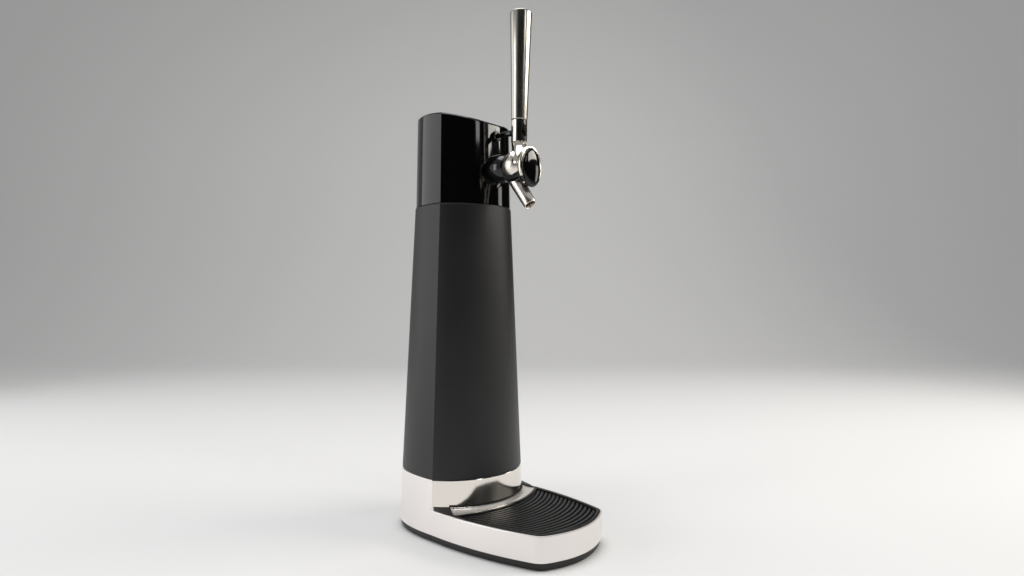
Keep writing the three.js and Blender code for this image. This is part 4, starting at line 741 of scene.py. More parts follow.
cap = cap_skin("cap_shell_moulding", 323.0, 0.0, 0.0, rim=2.4, steps=8, foot_edge=0.35)
cap = cut(cap, cap_skin("cap_hollow", 321.0, 2.5, 2.5))
for x, y in cap_screw_places:
    boss = turned_skin("cap_boss", post(3.6, 327.1, 344.8), 20, spot(x, y, 0))
    cap = cut(cap, cut(boss, cap_skin("boss_bounds", 322.0, 1.0, 1.0), "INTERSECT"), "UNION")
    cap = cut(cap, turned_skin("boss_hole", post(1.6, 326.8, 340.8), 16, spot(x, y, 0)))
cap = cut(cap, upright_prism("fascia_opening", u_outline(17.7), -54, -31.5))
cap = cut(cap, upright_prism("door_opening", rounded_box(20, 334, 396, 2.5), 42.7, 80))
cap = cut(cap, upright_prism("inlet_opening", rounded_box(4.3, 326.8, 330.4, 0.8), 41, 80))
finish_piece(cap, gloss_black, "tower", "gloss_plastic", "cap_shell", degrees=17)


# Fascia: the gloss black U-shaped panel behind the tap. Its raised middle leaves a narrow groove beside the
# cap, which shows as two fine upright lines.
fascia = cap_skin("fascia_flange", 323.0, 1.7, 1.7, rim=0.6, steps=3)
fascia = cut(fascia, upright_prism("flange_bounds", u_outline(17.35), -54, -31.8), "INTERSECT")
raised = cap_skin("fascia_raised", 323.0, 0.3, 0.3, rim=2.2)
raised = cut(raised, upright_prism("raised_bounds", u_outline(14.9), -54, -31.8), "INTERSECT")
fascia = cut(fascia, raised, "UNION")
recess = upright_prism("fascia_recess", u_outline(12.9), -35.5, -29.5)
recess = cut(recess, cap_skin("recess_bounds", 323.0, 0.0, 4.0), "INTERSECT")
fascia = cut(fascia, recess)


def tap_round(name, profile, sides, height=tap_height):
    """Turned about the tap's own axis: [radius, reach] pairs, reach counted forwards from the tower's axis."""
    return turned_skin(name, profile, sides, spot(0, 0, height), Vector((0, -1, 0)))


fascia = cut(fascia, tap_round("shank_hole", post(7.8, 20, 60), 48))
fascia = cut(fascia, tap_round("bushing_hole", post(5.3, 20, 60), 36, rod_height))
bevel = fascia.modifiers.new("softened_edges", "BEVEL")
bevel.width = 0.0003
bevel.segments = 2
bevel.limit_method = "ANGLE"
bevel.angle_limit = math.radians(50)
finish_piece(fascia, gloss_black, "tower", "gloss_plastic", "fascia_panel", degrees=25)


# Battery door: a gloss black panel in the cap's back with rounded corners and a finger notch, that pulls
# straight off backwards.
door = cap_skin("battery_door_panel", 323.0, 0.0, 0.0, rim=2.4)
door = cut(door, upright_prism("door_bounds", rounded_box(19.6, 334.4, 395.6, 2.2), 44.7, 80), "INTERSECT")
door = cut(door, upright_prism("door_notch", rounded_box(7, 386, 391, 2.3), 48.0, 80))
finish_piece(door, gloss_black, "battery_door", "gloss_plastic", "battery_door", degrees=25)


# Collar, ball and spout: a gloss black ring stands out from the fascia and seats a chrome ball, whose shank
# runs back through both to a brass nut. The tapered spout is pushed onto the stub under the ball.
# Chrome plating is a thin bright skin over polished brass: near-perfect mirror, warm where it thins.
tap_y, tap_z = tower_y - tap_reach / 1000, tap_height / 1000
chrome = satin_metal("polished_nickel_chrome_plate", "#e3ddd3", 0.11, 2.4, depth=0.02)
satin_chrome = satin_metal("satin_nickel_chrome_plate", "#eee6de", 0.26, 1.2, depth=0.04)


def rounded_corners(profile, radii, steps=5):
    """Replaces chosen corners of a profile, given by index and radius, by small arcs."""
    made = []
    for i, point in enumerate(profile):
        if i not in radii:
            made.append(point)
            continue
        here = Vector(point)
        before = (Vector(profile[i - 1]) - here).normalized() * radii[i]
        after = (Vector(profile[i + 1]) - here).normalized() * radii[i]
        for k in range(steps + 1):
            t = k / steps
            made.append(tuple((here + before) * (1 - t) ** 2 + here * (2 * t * (1 - t)) + (here + after) * t**2))
    return made


def flowing(points, steps=6):
    """A smooth line through given points, each row's values eased into the next row's."""
    made = []
    for i in range(len(points) - 1):
        before, here, there, after = (points[max(0, min(len(points) - 1, i + k))] for k in (-1, 0, 1, 2))
        for k in range(steps):
            t = k / steps
            made.append(tuple(
                0.5 * (2 * b + (c - a) * t + (2 * a - 5 * b + 4 * c - d) * t**2 + (3 * b - a - 3 * c + d) * t**3)
                for a, b, c, d in zip(before, here, there, after)
            ))
    return [*made, tuple(points[-1])]


def tap_spot(x, y, z):
    """A place in metres, from millimetres counted from the ball's centre."""
    return (x / 1000, tap_y + y / 1000, tap_z + z / 1000)


def tap_sphere(name, radius, y=0.0, z=0.0, steps=32):
    turns = [math.pi * i / steps for i in range(1, steps)]
    half = [(radius * math.sin(t), -radius * math.cos(t)) for t in turns]
    return turned_skin(name, [(0, -radius), *half, (0, radius)], 2 * steps, tap_spot(0, y, z))


ball_radius, ball_room, shank_radius = 14.4, 14.7, 7.5
collar_cup = [(13.9, 34.0), (13.95, 40.0), (14.05, 46.0), (13.95, 49.5), (13.5, 52.4), (12.7, 55.0), (11.8, 57.2)]
collar_cup = flowing([*collar_cup, (11.2, 57.7)], 5)
collar = tap_round("ball_collar", [(7.8, 34.0), *collar_cup, (10.4, 57.4), (7.8, 54.0), (7.8, 34.0)], 96)
collar = cut(collar, cap_skin("collar_back", 323.0, 0.0, 0.0))
collar = cut(collar, tap_sphere("seat_ball", ball_room))
finish_piece(collar, gloss_black, "tower", "gloss_plastic", "collar", degrees=35)


def ball_profile(radius, opening, steps=40):
    """Half a circle from the ball's front to where the shank leaves it."""
    first = math.pi - math.asin(opening / radius)
    turns = [first * i / steps for i in range(1, steps + 1)]
    return [(0, tap_reach + radius), *[(radius * math.sin(t), tap_reach + radius * math.cos(t)) for t in turns]]


barb = [(3.4, 25.95), (3.4, 25.2), (3.75, 24.6), (3.2, 22.8), (3.2, 22.4), (3.7, 21.8), (3.0, 19.95), (2.2, 19.95)]
thread = [(shank_radius, 50.0), (7.0, 49.3), (7.0, 48.9), (shank_radius, 48.2)]
shank = [(radius, reach - 2.3 * k) for k in range(10) for radius, reach in thread]
shank += [(shank_radius, 26.2), (7.2, 25.95), *barb]
ball = ball_profile(ball_radius, shank_radius)
ball = tap_round("tap_ball_and_shank", [*ball, *shank, (2.2, 57.7), (0, 57.7)], 96)
spout_tilt = math.radians(36.2)
spout_down = Vector((0, -math.sin(spout_tilt), -math.cos(spout_tilt)))
spout_root = (0, tap_y + 0.0116, tap_z)


def along_spout(name, profile, sides=72):
    """Turned about the spout's tilted axis, from its root inside the ball down."""
    return turned_skin(name, profile, sides, spout_root, spout_down)


stub_profile = [(0, 10), (5.4, 10), (5.4, 23.7), (5.1, 24), (0, 24)]
ball = cut(ball, along_spout("spout_stub", stub_profile), "UNION")
ball = cut(ball, along_spout("stub_bore", post(2.2, 0, 26), 32))
finish_piece(ball, satin_chrome, "tower", "chrome_plate", "tap_ball", degrees=40)

spout_profile = [(7.1, 10), (7.1, 22), (6.55, 40), (6.2, 47.9), (6.05, 48.2), (5.75, 48.3), (5.35, 48.2), (5.2, 47.9)]
spout_profile += [(4.75, 45.0), (4.7, 24.3), (5.7, 24.3), (5.7, 10), (7.1, 10)]
spout = along_spout("tapered_spout", spout_profile, 96)
spout = cut(spout, tap_sphere("spout_ball", ball_room))
finish_piece(spout, satin_chrome, "tower", "chrome_plate", "spout", degrees=40)


# Hinge block and lever: a black block under the ball carries a steel pin. On it swings one chrome casting: an
# oval bezel, a hood and a thin shell that hug the ball, and a round neck for the handle. The bezel's foot is
# cut off and made gloss black: painted shade and dark reflection under the ball.
def full_turn(count):
    return [2 * math.pi * i / count for i in range(count)]


def oval_ring(half_width, half_height, centre_z, y):
    """An upright oval in front of the ball, which the bezel and its insert follow."""
    return [tap_spot(half_width * math.cos(t), y, centre_z + half_height * math.sin(t)) for t in full_turn(96)]


def level_ring(half_x, half_y, y, z):
    """A level oval, which the hood follows from the bezel up to the neck."""
    return [tap_spot(half_x * math.cos(t), y + half_y * math.sin(t), z) for t in full_turn(96)]


hinge_forward, hinge_below = 16.2, 18.4  # the lever's hinge line, from the ball's centre


def cross_round(name, profile, sides=32):
    """Turned about the hinge line, which runs from side to side."""
    return turned_skin(name, profile, sides, tap_spot(0, -hinge_forward, -hinge_below), Vector((1, 0, 0)))


def tap_block(name, low, high):
    """A block between two corners, given in millimetres from the ball's centre."""
    (x0, y0, z0), (x1, y1, z1) = low, high
    return skin(name, [[tap_spot(x, y, z) for x, y in [(x0, y0), (x1, y0), (x1, y1), (x0, y1)]] for z in (z0, z1)])


cradle = tap_sphere("hinge_cradle", 17.5)
cradle = cut(cradle, tap_block("cradle_bounds", (-10.4, -12.2, -30), (10.4, 9.2, -9.0)), "INTERSECT")
knuckle_rows = [(-20.8, 1.6), (-20.5, 1.0), (-19.6, 0.3), (-18.6, 0.0), (-10.0, 0.0), (-9.2, 0.3), (-9.0, 0.8)]
knuckle = skin("hinge_knuckle", [
    [tap_spot(x, y, z) for x, y in [(-4.2, -18.6 + e), (4.2, -18.6 + e), (4.2, -8.0), (-4.2, -8.0)]]
    for z, e in knuckle_rows
])
cradle = cut(cradle, knuckle, "UNION")
cradle = cut(cradle, tap_sphere("cradle_seat", 14.75))
cradle = cut(cradle, along_spout("spout_room", post(7.45, 6, 40), 48))
cradle = cut(cradle, cross_round("cradle_pin_hole", post(1.15, -12, 12)))
finish_piece(cradle, gloss_black, "tower", "gloss_plastic", "hinge_block", degrees=35)
steel = satin_metal("turned_stainless_steel", "#c4c1ba", 0.26, 0.6, depth=0.1)
pin = cross_round("lever_hinge_pin", [(0, -8.8), (0.8, -8.8), (1.1, -8.4), (1.1, 8.4), (0.8, 8.8), (0, 8.8)])
finish_piece(pin, steel, "tower", "steel", "hinge_pin")

bezel_rows = [(-18.3, 14.45, 18.55), (-18.25, 14.8, 18.9), (-18.0, 15.25, 19.35), (-17.5, 15.6, 19.75)]
bezel_rows += [(-16.8, 15.8, 20.0), (-15.6, 15.75, 19.95), (-14.4, 15.4, 19.6), (-12.8, 14.6, 18.7)]
bezel_rows += [(-11.0, 13.4, 17.4)]
lever = skin("tap_lever_casting", [oval_ring(w, h, -2.6, y) for y, w, h in bezel_rows])
hood_rows = [(11.5, 4.6, -13.5, -11.0), (13.2, 7.2, -11.2, -8.0), (14.2, 9.8, -9.2, -4.0), (14.4, 10.6, -8.3, 1.0)]
hood_rows += [(13.2, 10.3, -7.6, 6.0), (11.4, 9.7, -6.6, 10.0), (9.2, 8.6, -4.9, 14.0), (7.6, 7.5, -3.0, 18.0)]
hood_rows = [*flowing([*hood_rows, (6.95, 6.95, -1.9, 21.5)], 4), (6.75, 6.75, -1.9, 21.8)]
lever = cut(lever, skin("hood", [level_ring(*row) for row in hood_rows]), "UNION")
hood_shell = tap_sphere("hood_shell", 16.4)
wedge_side = [(-19, -0.6), (-7.4, -0.6), (-0.4, 15.2), (-0.4, 18), (-19, 18)]
wedge = skin("hood_wedge", [[tap_spot(x, y, z) for y, z in wedge_side] for x in (-18, 18)])
lever = cut(lever, cut(hood_shell, wedge, "INTERSECT"), "UNION")
neck_profile = [(0, 19.8), (3, 19.8), (3, 24.0), (2.6, 24.4), (0, 24.4)]
lever = cut(lever, turned_skin("neck_spigot", neck_profile, 32, tap_spot(0, -1.9, 0)), "UNION")
for swing in (0, 2, 4):
    turn = math.radians(swing)
    y = -hinge_forward + hinge_forward * math.cos(turn) - hinge_below * math.sin(turn)
    z = -hinge_below + hinge_below * math.cos(turn) + hinge_forward * math.sin(turn)
    lever = cut(lever, tap_sphere("ball_room", 14.9, y, z))
lever = cut(lever, skin("insert_pocket", [oval_ring(12.3, 18.7, -4.0, y) for y in (-23, -16.9)]))
lever = cut(lever, tap_block("hood_foot", (-40, -13.7, -40), (40, 30, -0.6)))
lever = cut(lever, tap_block("knuckle_notch", (-4.5, -40, -40), (4.5, 0, -15.4)))
lever = cut(lever, tap_block("arm_room", (-4.5, -15.2, -17.4), (4.5, 0, -8.5)))
lever = cut(lever, cross_round("pin_room", post(1.4, -16, 16)))
# The bezel's foot, cut from the chrome casting and made gloss black, is painted shade and dark reflection.
shaded_foot = new_object("lever_foot_shoe", lever.data.copy())
shaded_foot = cut(shaded_foot, tap_block("shoe_bounds", (-40, -40, -40), (40, 40, -13.2)), "INTERSECT")
lever = cut(lever, tap_block("shoe_room", (-40, -40, -40), (40, 40, -13.0)))
finish_piece(lever, chrome, "lever", "chrome_plate", "lever", degrees=38)
finish_piece(shaded_foot, gloss_black, "lever", "gloss_plastic", "lever", degrees=38)


# Insert: a gloss black moulded oval, pressed into the bezel's pocket from the front. Its dome gathers the room
# into one round highlight.
insert_rows = [(-17.2, 12.0, 18.4), (-18.3, 12.0, 18.4)]
for k in range(1, 13):
    turn = math.pi / 2 * k / 13
    draw = 1 - (1 - math.cos(turn)) ** 1.1
    insert_rows.append((-18.3 - 3.0 * math.sin(turn), 12.0 * draw, 18.4 * draw))
insert = skin("lever_insert_dome", [oval_ring(w, h, -4.0, y) for y, w, h in insert_rows])
insert = cut(insert, cross_round("knuckle_room", post(2.7, -4.5, 4.5)))
finish_piece(insert, gloss_black, "lever", "gloss_plastic", "lever_insert", degrees=35)


# Ferrule and handle: a chrome ring screwed under the handle, pierced for the push rod's head, and the tall
# stainless handle, turned to a taper and brushed along its length, with a lightly domed top.
lean = math.radians(1.15)
neck_place = Vector((0, tap_y - 0.0025, tap_z + 0.0218))
handle_up = Vector((0, -math.sin(lean), math.cos(lean)))


def along_handle(name, profile, sides=32):
    """Turned about the handle's axis, from the neck up; the handle leans a little forwards."""
    return turned_skin(name, profile, sides, neck_place, handle_up)


ferrule_profile = [(0, 0.3), (7.3, 0.3), (7.75, 0.75), (7.75, 21.4), (7.3, 21.9), (0, 21.9)]
ferrule = along_handle("handle_ferrule", ferrule_profile, 96)
tilt = Vector((0, 0, 1)).rotation_difference(handle_up)


def on_handle(x, y, z):
    """A place from the neck up, in millimetres, leaning with the handle."""
    return tuple(neck_place + tilt @ Vector((x / 1000, y / 1000, z / 1000)))


def hole_ring(half_x, half_z, centre, y):
    """An upright oval in the ferrule's wall, at a depth along the rod."""
    return [on_handle(half_x * math.cos(t), y, centre + half_z * math.sin(t)) for t in full_turn(48)]


hole_rows = [(4.3, 5.9, 11.0, -9), (3.7, 5.3, 11.0, -6.9), (3.6, 5.2, 11.0, 2.9)]
ferrule = cut(ferrule, skin("rod_hole", [hole_ring(*row) for row in hole_rows]))
slot_plan = [(-2.6, 4.2), (2.6, 4.2), (2.6, 15.5), (-2.6, 15.5)]
ferrule = cut(ferrule, skin("rod_slot", [[on_handle(x, y, z) for x, z in slot_plan] for y in (0, 9)]))
ferrule = cut(ferrule, along_handle("neck_bore", post(3.3, -2, 2.9)))
ferrule = cut(ferrule, along_handle("stud_bore", post(3.3, 16.6, 24)))
finish_piece(ferrule, chrome, "lever", "chrome_plate", "ferrule", degrees=38)

stud_profile = [(0, 16.9), (2.6, 16.9)]
for k in range(18):
    stud_profile += [(3.0, 17.5 + k), (2.6, 18.0 + k)]
stud = along_handle("handle_stud_thread", [*stud_profile, (2.6, 35.9), (0, 35.9)])
finish_piece(stud, steel, "lever", "steel", "handle_stud")


def brushed_steel(name, colour):
    """Stainless brushed along the handle: fine upright scratches stretch every reflection round the taper."""
    material, tree, where = textured_material(name)
    along = add(tree, "ShaderNodeMapping", {"Scale": (1.0, 1.0, 0.02)}, Vector=where)
    lines = add(tree, "ShaderNodeTexNoise", {"Scale": 2600.0, "Detail": 3.0}, Vector=along)
    cloud = add(tree, "ShaderNodeTexNoise", {"Scale": 25.0, "Detail": 2.0}, Vector=where)
    shade = add(tree, "ShaderNodeMix", {"data_type": "RGBA", 6: linear("#b6b2a8"), 7: linear(colour)}, _0=lines)
    drift = add(tree, "ShaderNodeMath", {"operation": "MULTIPLY_ADD", 1: 0.5}, _0=cloud, _2=lines)
    gloss = add(tree, "ShaderNodeMapRange", {1: 0.3, 2: 1.2, 3: 0.16, 4: 0.3}, Value=drift)
    bump = add(tree, "ShaderNodeBump", {"Strength": 0.16, "Distance": 0.0001}, Height=lines)
    surface = add(tree, "ShaderNodeBsdfPrincipled", {"Metallic": 1.0}, Base_Color=shade.outputs[2],
                  Roughness=gloss, Normal=bump)
    return coated(material, surface)


handle_profile = [(0, 22.2), (7.6, 22.2), (8.0, 22.6), (8.05, 25.6), (8.7, 55.0), (9.65, 90.5), (10.8, 124.6)]
handle_profile += [(10.72, 125.3), (10.45, 125.8), (10.0, 126.15), (9.3, 126.35), (5.4, 126.95), (0, 127.2)]
handle = along_handle("brushed_tap_handle", handle_profile, 96)
handle = cut(handle, along_handle("handle_bore", post(3.3, 20.5, 36.3)))
finish_piece(handle, brushed_steel("brushed_stainless_steel", "#cfccc4"), "lever", "steel", "handle", degrees=30)


# Push rod and its bushing: a black rod runs from the ferrule back through the fascia to the switches; its
# round head shows in the ferrule's hole.
head = [(3.1 * math.sin(math.pi * i / 24), 70.2 + 3.1 * math.cos(math.pi * i / 24)) for i in range(1, 17)]
sleeve_profile = [(2.3, 67.4), (2.3, 60.6), (2.8, 60.4), (2.95, 59.9), (2.95, 49.6), (2.8, 49.1)]
tail_profile = [(2.1, 48.9), (2.1, 16.0), (1.7, 15.6), (0, 15.6)]
rod = tap_round("switch_push_rod", [(0, 73.3), *head, *sleeve_profile, *tail_profile], 48, rod_height)
cam_plan = [(-2.5, -18.65), (2.5, -18.65), (2.5, -16.65), (-2.5, -16.65)]
cam = skin("rod_cam", [place(cam_plan, z) for z in (rod_height - 2, rod_height + 9.4)])
rod = cut(rod, cam, "UNION")
finish_piece(rod, gloss_black, "push_rod", "gloss_plastic", "push_rod", degrees=35)
bushing_profile = [(2.4, 31.8), (5.0, 31.8), (5.0, 43.0), (2.4, 43.0), (2.4, 31.8)]
bushing = tap_round("rod_guide_bushing", rounded_corners(bushing_profile, {2: 1.2, 3: 0.5}), 64, rod_height)
finish_piece(bushing, gloss_black, "tower", "gloss_plastic", "rod_bushing", degrees=35)


# Feet and screws: four black rubber discs are pressed into recesses under the plinth, and steel pan-head
# screws with a cross recess go up through the plinth into the core, and from below into the cap's bosses.
def placed_copies(name, source, places, material, seed=3):
    """Sets copies of one small piece at given places, each turned by its own share of a turn."""
    tree, given = open_tree(name, {"Places": None, "Turn Limit": math.tau, "Turn Seed": seed}, "Copies")
    pattern = add(tree, "GeometryNodeObjectInfo")
    pattern.inputs["Object"].default_value = source
    turn = add(tree, "FunctionNodeRandomValue", None, _3=given.outputs["Turn Limit"], Seed=given.outputs["Turn Seed"])
    about = add(tree, "ShaderNodeCombineXYZ", None, Z=turn.outputs[1])
    copies = add(tree, "GeometryNodeInstanceOnPoints", None, Points=given.outputs["Places"],
                 Instance=pattern.outputs["Geometry"], Rotation=about)
    close_tree(tree, copies, material)
    mesh = bpy.data.meshes.new(name)
    mesh.from_pydata([spot(*where) for where in places], [], [])
    piece = grown(name, tree, mesh)
    bpy.data.objects.remove(source)
    return piece


foot_profile = [(0, 0), (6.2, 0), (6.8, 0.25), (7, 0.8), (7, 1.8), (6.7, 2.1), (0, 2.1)]
foot = turned_skin("foot_pattern", foot_profile, 40, (0, 0, 0))
for radius in (2.2, 4.4):
    groove = [(radius, -1), (radius + 0.7, -1), (radius + 0.7, 0.4), (radius, 0.4), (radius, -1)]
    foot = cut(foot, turned_skin("foot_groove", groove, 40, (0, 0, 0)))
foot_places = [(-34, 42.0, 0), (34, 42.0, 0), (-29.9, -117.95, 0), (29.9, -117.95, 0)]
feet = placed_copies("rubber_feet", foot, foot_places, soft_rubber)
finish_piece(feet, soft_rubber, "base", "rubber", *[f"rubber_foot_{i}" for i in (1, 2, 3, 4)])


def screw_pattern(length):
    """A pan-head screw standing on its head, with a cross recess below and a thread above."""
    profile = [(0, 0), (1.9, 0), (2.6, 0.45), (2.9, 1.1), (2.9, 1.8), (2.7, 2.0), (1.45, 2.0), (1.45, 2.6)]
    reach = 3.0
    while reach < length - 1.2:
        profile += [(1.2, reach), (1.5, reach + 0.35)]
        reach += 0.7
    screw = turned_skin("screw_pattern", [*profile, (1.1, length - 0.8), (0.4, length), (0, length)], 20, (0, 0, 0))
    for half_x, half_y in [(0.42, 1.7), (1.7, 0.42)]:
        plan = [(-half_x, -half_y), (half_x, -half_y), (half_x, half_y), (-half_x, half_y)]
        rings = [[(x * g / 1000, y * g / 1000, z / 1000) for x, y in plan] for z, g in [(-0.5, 1.0), (1.2, 0.8)]]
        screw = cut(screw, skin("cross_arm", rings))
    return screw


base_screw_places = [(-36, 22.0, 0.9), (36, 22.0, 0.9), (-28, -26.0, 0.9), (28, -26.0, 0.9)]
base_screws = placed_copies("base_screws", screw_pattern(9.5), base_screw_places, steel)
finish_piece(base_screws, steel, "base", "steel", *[f"base_screw_{i}" for i in (1, 2, 3, 4)])
cap_screws = placed_copies("cap_screws", screw_pattern(23.1), [(x, y, 317.4) for x, y in cap_screw_places], steel, 8)
finish_piece(cap_screws, steel, "tower", "steel", *[f"cap_screw_{i}" for i in (1, 2, 3, 4)])


# Bulkhead: a cast silicone ring and a black moulded plate close the bottle chamber at its top. The cap screws
# clamp both between the body's lip and the cap.
dress(silicone, "bulkhead_seal")
dress(black_abs, "bulkhead_plate")


# Batteries: two AA cells stand in a black moulded holder between nickel-plated strips, behind the door. Each
# cell is a drawn steel can in a shrunk grey sleeve whose ends turn in over the rims.
def shrunk_sleeve(name, dark, light):
    """Shrunk plastic film: smooth and a little glossy, with faint upright shrink lines."""
    material, tree, where = textured_material(name)
    along = add(tree, "ShaderNodeMapping", {"Scale": (1.0, 1.0, 0.06)}, Vector=where)
    lines = add(tree, "ShaderNodeTexNoise", {"Scale": 700.0, "Detail": 2.0}, Vector=along)
    shade = add(tree, "ShaderNodeMix", {"data_type": "RGBA", 6: linear(dark), 7: linear(light)}, _0=lines)
    bump = add(tree, "ShaderNodeBump", {"Strength": 0.15, "Distance": 0.0001}, Height=lines)
    surface = add(tree, "ShaderNodeBsdfPrincipled", {"Roughness": 0.28, "IOR": 1.54, "Metallic": 0.2},
                  Base_Color=shade.outputs[2], Normal=bump)
    return coated(material, surface)


sleeve = shrunk_sleeve("shrunk_grey_cell_sleeve", "#6d6f73", "#7d8085")
dress(black_abs, "battery_holder")
dress(steel, "battery_contact_top", "battery_contact_bottom")
cell_profile = [(0, 339.9), (4.9, 339.9), (5.3, 340.1), (6.2, 340.3), (6.9, 340.2), (7.25, 340.7), (7.25, 389.4)]
cell_profile += [(6.9, 389.9), (6.2, 389.9), (5.8, 390.1), (3.1, 390.3), (2.7, 390.3), (2.7, 391.0), (2.4, 391.2)]
cell_profile += [(0, 391.2)]
sleeve_edge, cell_half_pitch, cell_depth = 0.0056, 7.85, 0.0776
for number, x in ((1, -cell_half_pitch), (2, cell_half_pitch)):
    cell_axis = Vector((x / 1000, cell_depth, 0))
    cell = turned_skin(f"aa_cell_{number}", cell_profile, 64, cell_axis)
    finish_piece(cell, steel, "tower", "cell", f"battery_cell_{number}", degrees=35)
    cell.data.materials.append(sleeve)
    for face in cell.data.polygons:
        face.material_index = 1 if (face.center - cell_axis).to_2d().length > sleeve_edge else 0


# Air pump: a motor can on a moulded pump head whose crank works a small diaphragm. The can is drawn steel,
# zinc plated; the head and the crank are nylon.
nylon = moulded_abs("moulded_natural_nylon", "#cfcabd", 0.42, 0.8, 0.12)
zinc = satin_metal("zinc_plated_drawn_steel", "#b9bcbf", 0.3, 0.8, stretch=(1, 1, 0.2), depth=0.12)
dress(nylon, "pump_head", "pump_crank")
motor_profile = [(0, 352.5), (1.5, 352.5), (1.5, 344.4), (9.6, 344.4), (10.2, 344.7), (10.5, 345.4), (10.5, 347.2)]
motor_profile += [(10.25, 347.5), (10.25, 347.9), (10.5, 348.2), (10.5, 370.0), (10.25, 370.9), (9.6, 371.4)]
motor_profile += [(4.0, 371.4), (3.6, 372.1), (3.2, 372.4), (0, 372.4)]
motor = turned_skin("pump_motor_can", motor_profile, 72, (-0.026465, tower_y + 0.001, 0))
finish_piece(motor, zinc, "tower", "steel", "pump_motor", degrees=30)


# Beer's and air's ways: nylon fittings through the bulkhead, a silicone dip tube down into the bottle and
# clear silicone hoses pushed over the barbs. Silicone is a little milky, with soft extrusion lines.
def extruded_silicone(name, colour):
    """Clear hose: milky, half see-through, with lines drawn along it by the die."""
    material, tree, where = textured_material(name)
    along = add(tree, "ShaderNodeMapping", {"Scale": (1.0, 1.0, 0.05)}, Vector=where)
    lines = add(tree, "ShaderNodeTexNoise", {"Scale": 900.0, "Detail": 2.0}, Vector=along)
    cloud = add(tree, "ShaderNodeTexNoise", {"Scale": 60.0, "Detail": 2.0}, Vector=where)
    shade = add(tree, "ShaderNodeMix", {"data_type": "RGBA", 6: linear("#bfc4c4"), 7: linear(colour)}, _0=cloud)
    bump = add(tree, "ShaderNodeBump", {"Strength": 0.2, "Distance": 0.0001}, Height=lines)
    surface = add(tree, "ShaderNodeBsdfPrincipled",
                  {"Roughness": 0.24, "IOR": 1.41, "Transmission Weight": 0.45, "Subsurface Weight": 0.1},
                  Base_Color=shade.outputs[2], Normal=bump)
    return coated(material, surface)


hose_silicone = extruded_silicone("extruded_clear_silicone", "#dfe3e2")
dress(nylon, "tube_gland", "air_fitting")
dress(hose_silicone, "dip_tube", "beer_hose", "air_hose")


# Circuit board: glass-epoxy board under a green solder mask, held by a moulded bracket, with small parts
# soldered on the side away from the rod, and a snap switch either side of the rod's cam.
def solder_mask(name):
    """Green lacquer over etched copper: the tracks lie a little proud and shine through lighter."""
    material, tree, where = textured_material(name)
    tracks = add(tree, "ShaderNodeTexBrick", {"Scale": 260.0, "Mortar Size": 0.035, "offset": 0.5},
                 Vector=where)
    shade = add(tree, "ShaderNodeMix", {"data_type": "RGBA", 6: linear("#0d3b22"), 7: linear("#1c6a3c")},
                _0=tracks.outputs["Fac"])
    bump = add(tree, "ShaderNodeBump", {"Strength": 0.3, "Distance": 0.0001}, Height=tracks.outputs["Fac"])
    surface = add(tree, "ShaderNodeBsdfPrincipled", {"Roughness": 0.32, "IOR": 1.52}, Base_Color=shade.outputs[2],
                  Normal=bump)
    return coated(material, surface)


board_green = solder_mask("green_solder_mask")
part_black = moulded_abs("moulded_black_epoxy", "#17181a", 0.55, 0.3, 0.15)
dress(board_green, "circuit_board")
dress(black_abs, "board_bracket", "pour_switch", "foam_switch")
dress(zinc, "power_inlet")


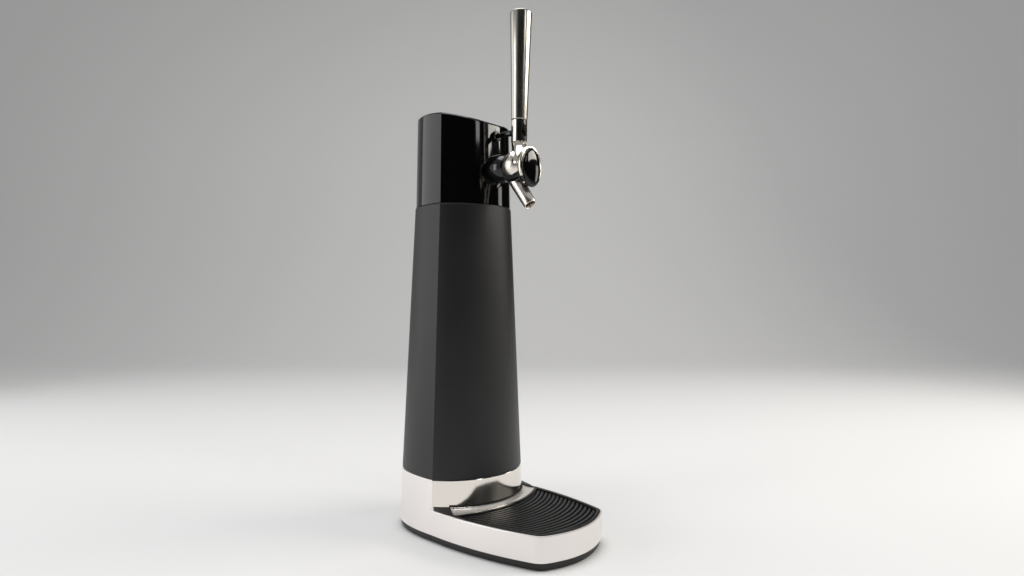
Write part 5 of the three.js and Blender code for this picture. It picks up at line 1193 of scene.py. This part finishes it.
def board_part_tree(material):
    """Small parts in rows on the board; a fixed seed drops some of them."""
    inputs = {"Part Pitch": 0.0052, "Columns": 7, "Rows": 4, "Kept Share": 0.75, "Layout Seed": 4}
    tree, given = open_tree("soldered_board_parts", inputs, "Parts")
    chip = add(tree, "GeometryNodeMeshCube", {"Size": (0.0012, 0.0032, 0.0017)})
    tinned = add(tree, "GeometryNodeMeshCube", {"Size": (0.0008, 0.0040, 0.0014)})
    both = add(tree, "GeometryNodeJoinGeometry")
    tree.links.new(chip.outputs[0], both.inputs[0])
    tree.links.new(tinned.outputs[0], both.inputs[0])
    column_step = add(tree, "ShaderNodeCombineXYZ", None, Y=given.outputs["Part Pitch"])
    row_step = add(tree, "ShaderNodeCombineXYZ", None, Z=given.outputs["Part Pitch"])
    columns = add(tree, "GeometryNodeMeshLine", {"mode": "OFFSET"}, Count=given.outputs["Columns"],
                  Offset=column_step)
    rows = add(tree, "GeometryNodeMeshLine", {"mode": "OFFSET"}, Count=given.outputs["Rows"], Offset=row_step)
    grid = add(tree, "GeometryNodeInstanceOnPoints", None, Points=columns, Instance=rows)
    places = add(tree, "GeometryNodeRealizeInstances", None, Geometry=grid)
    keep = add(tree, "FunctionNodeRandomValue", {"data_type": "BOOLEAN"}, Probability=given.outputs["Kept Share"],
               Seed=given.outputs["Layout Seed"])
    parts = add(tree, "GeometryNodeInstanceOnPoints", None, Points=places, Instance=both,
                Selection=keep.outputs[3])
    return close_tree(tree, parts, material)


board_parts = grown("soldered_board_parts", board_part_tree(part_black), part_pitch=0.0052, columns=7, rows=4)
board_corner = Vector((0.0087, 0.0112, 0.3795))
for point in board_parts.data.vertices:
    point.co += board_corner
smooth(board_parts, 20)
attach(board_parts, "tower")


# Behind the fascia: a milled brass nut pulls the tap's shank tight, and the fired ceramic ring that foams the
# last of the beer is clamped behind it, round the shank.
brass = satin_metal("milled_brass", "#c9a25a", 0.24, 0.7, depth=0.1)


def hexagon(y, radius):
    """The nut's outline round the shank."""
    return [spot(radius * math.cos(t), y, tap_height + radius * math.sin(t)) for t in full_turn(6)]


nut = skin("shank_hex_nut", [hexagon(-35.15, 12.0), hexagon(-29.2, 12.0)])
chamfer_profile = [(0, 29.0), (10.7, 29.0), (12.3, 30.2), (12.3, 34.2), (10.7, 35.4), (0, 35.4)]
nut = cut(nut, tap_round("nut_chamfer", chamfer_profile, 64), "INTERSECT")
nut = cut(nut, tap_round("nut_bore", post(7.8, 27, 37), 48))
finish_piece(nut, brass, "tower", "brass", "shank_nut", degrees=30)
ceramic = moulded_abs("fired_piezo_ceramic", "#d8d2c4", 0.5, 0.4, 0.1)
dress(ceramic, "foam_transducer")
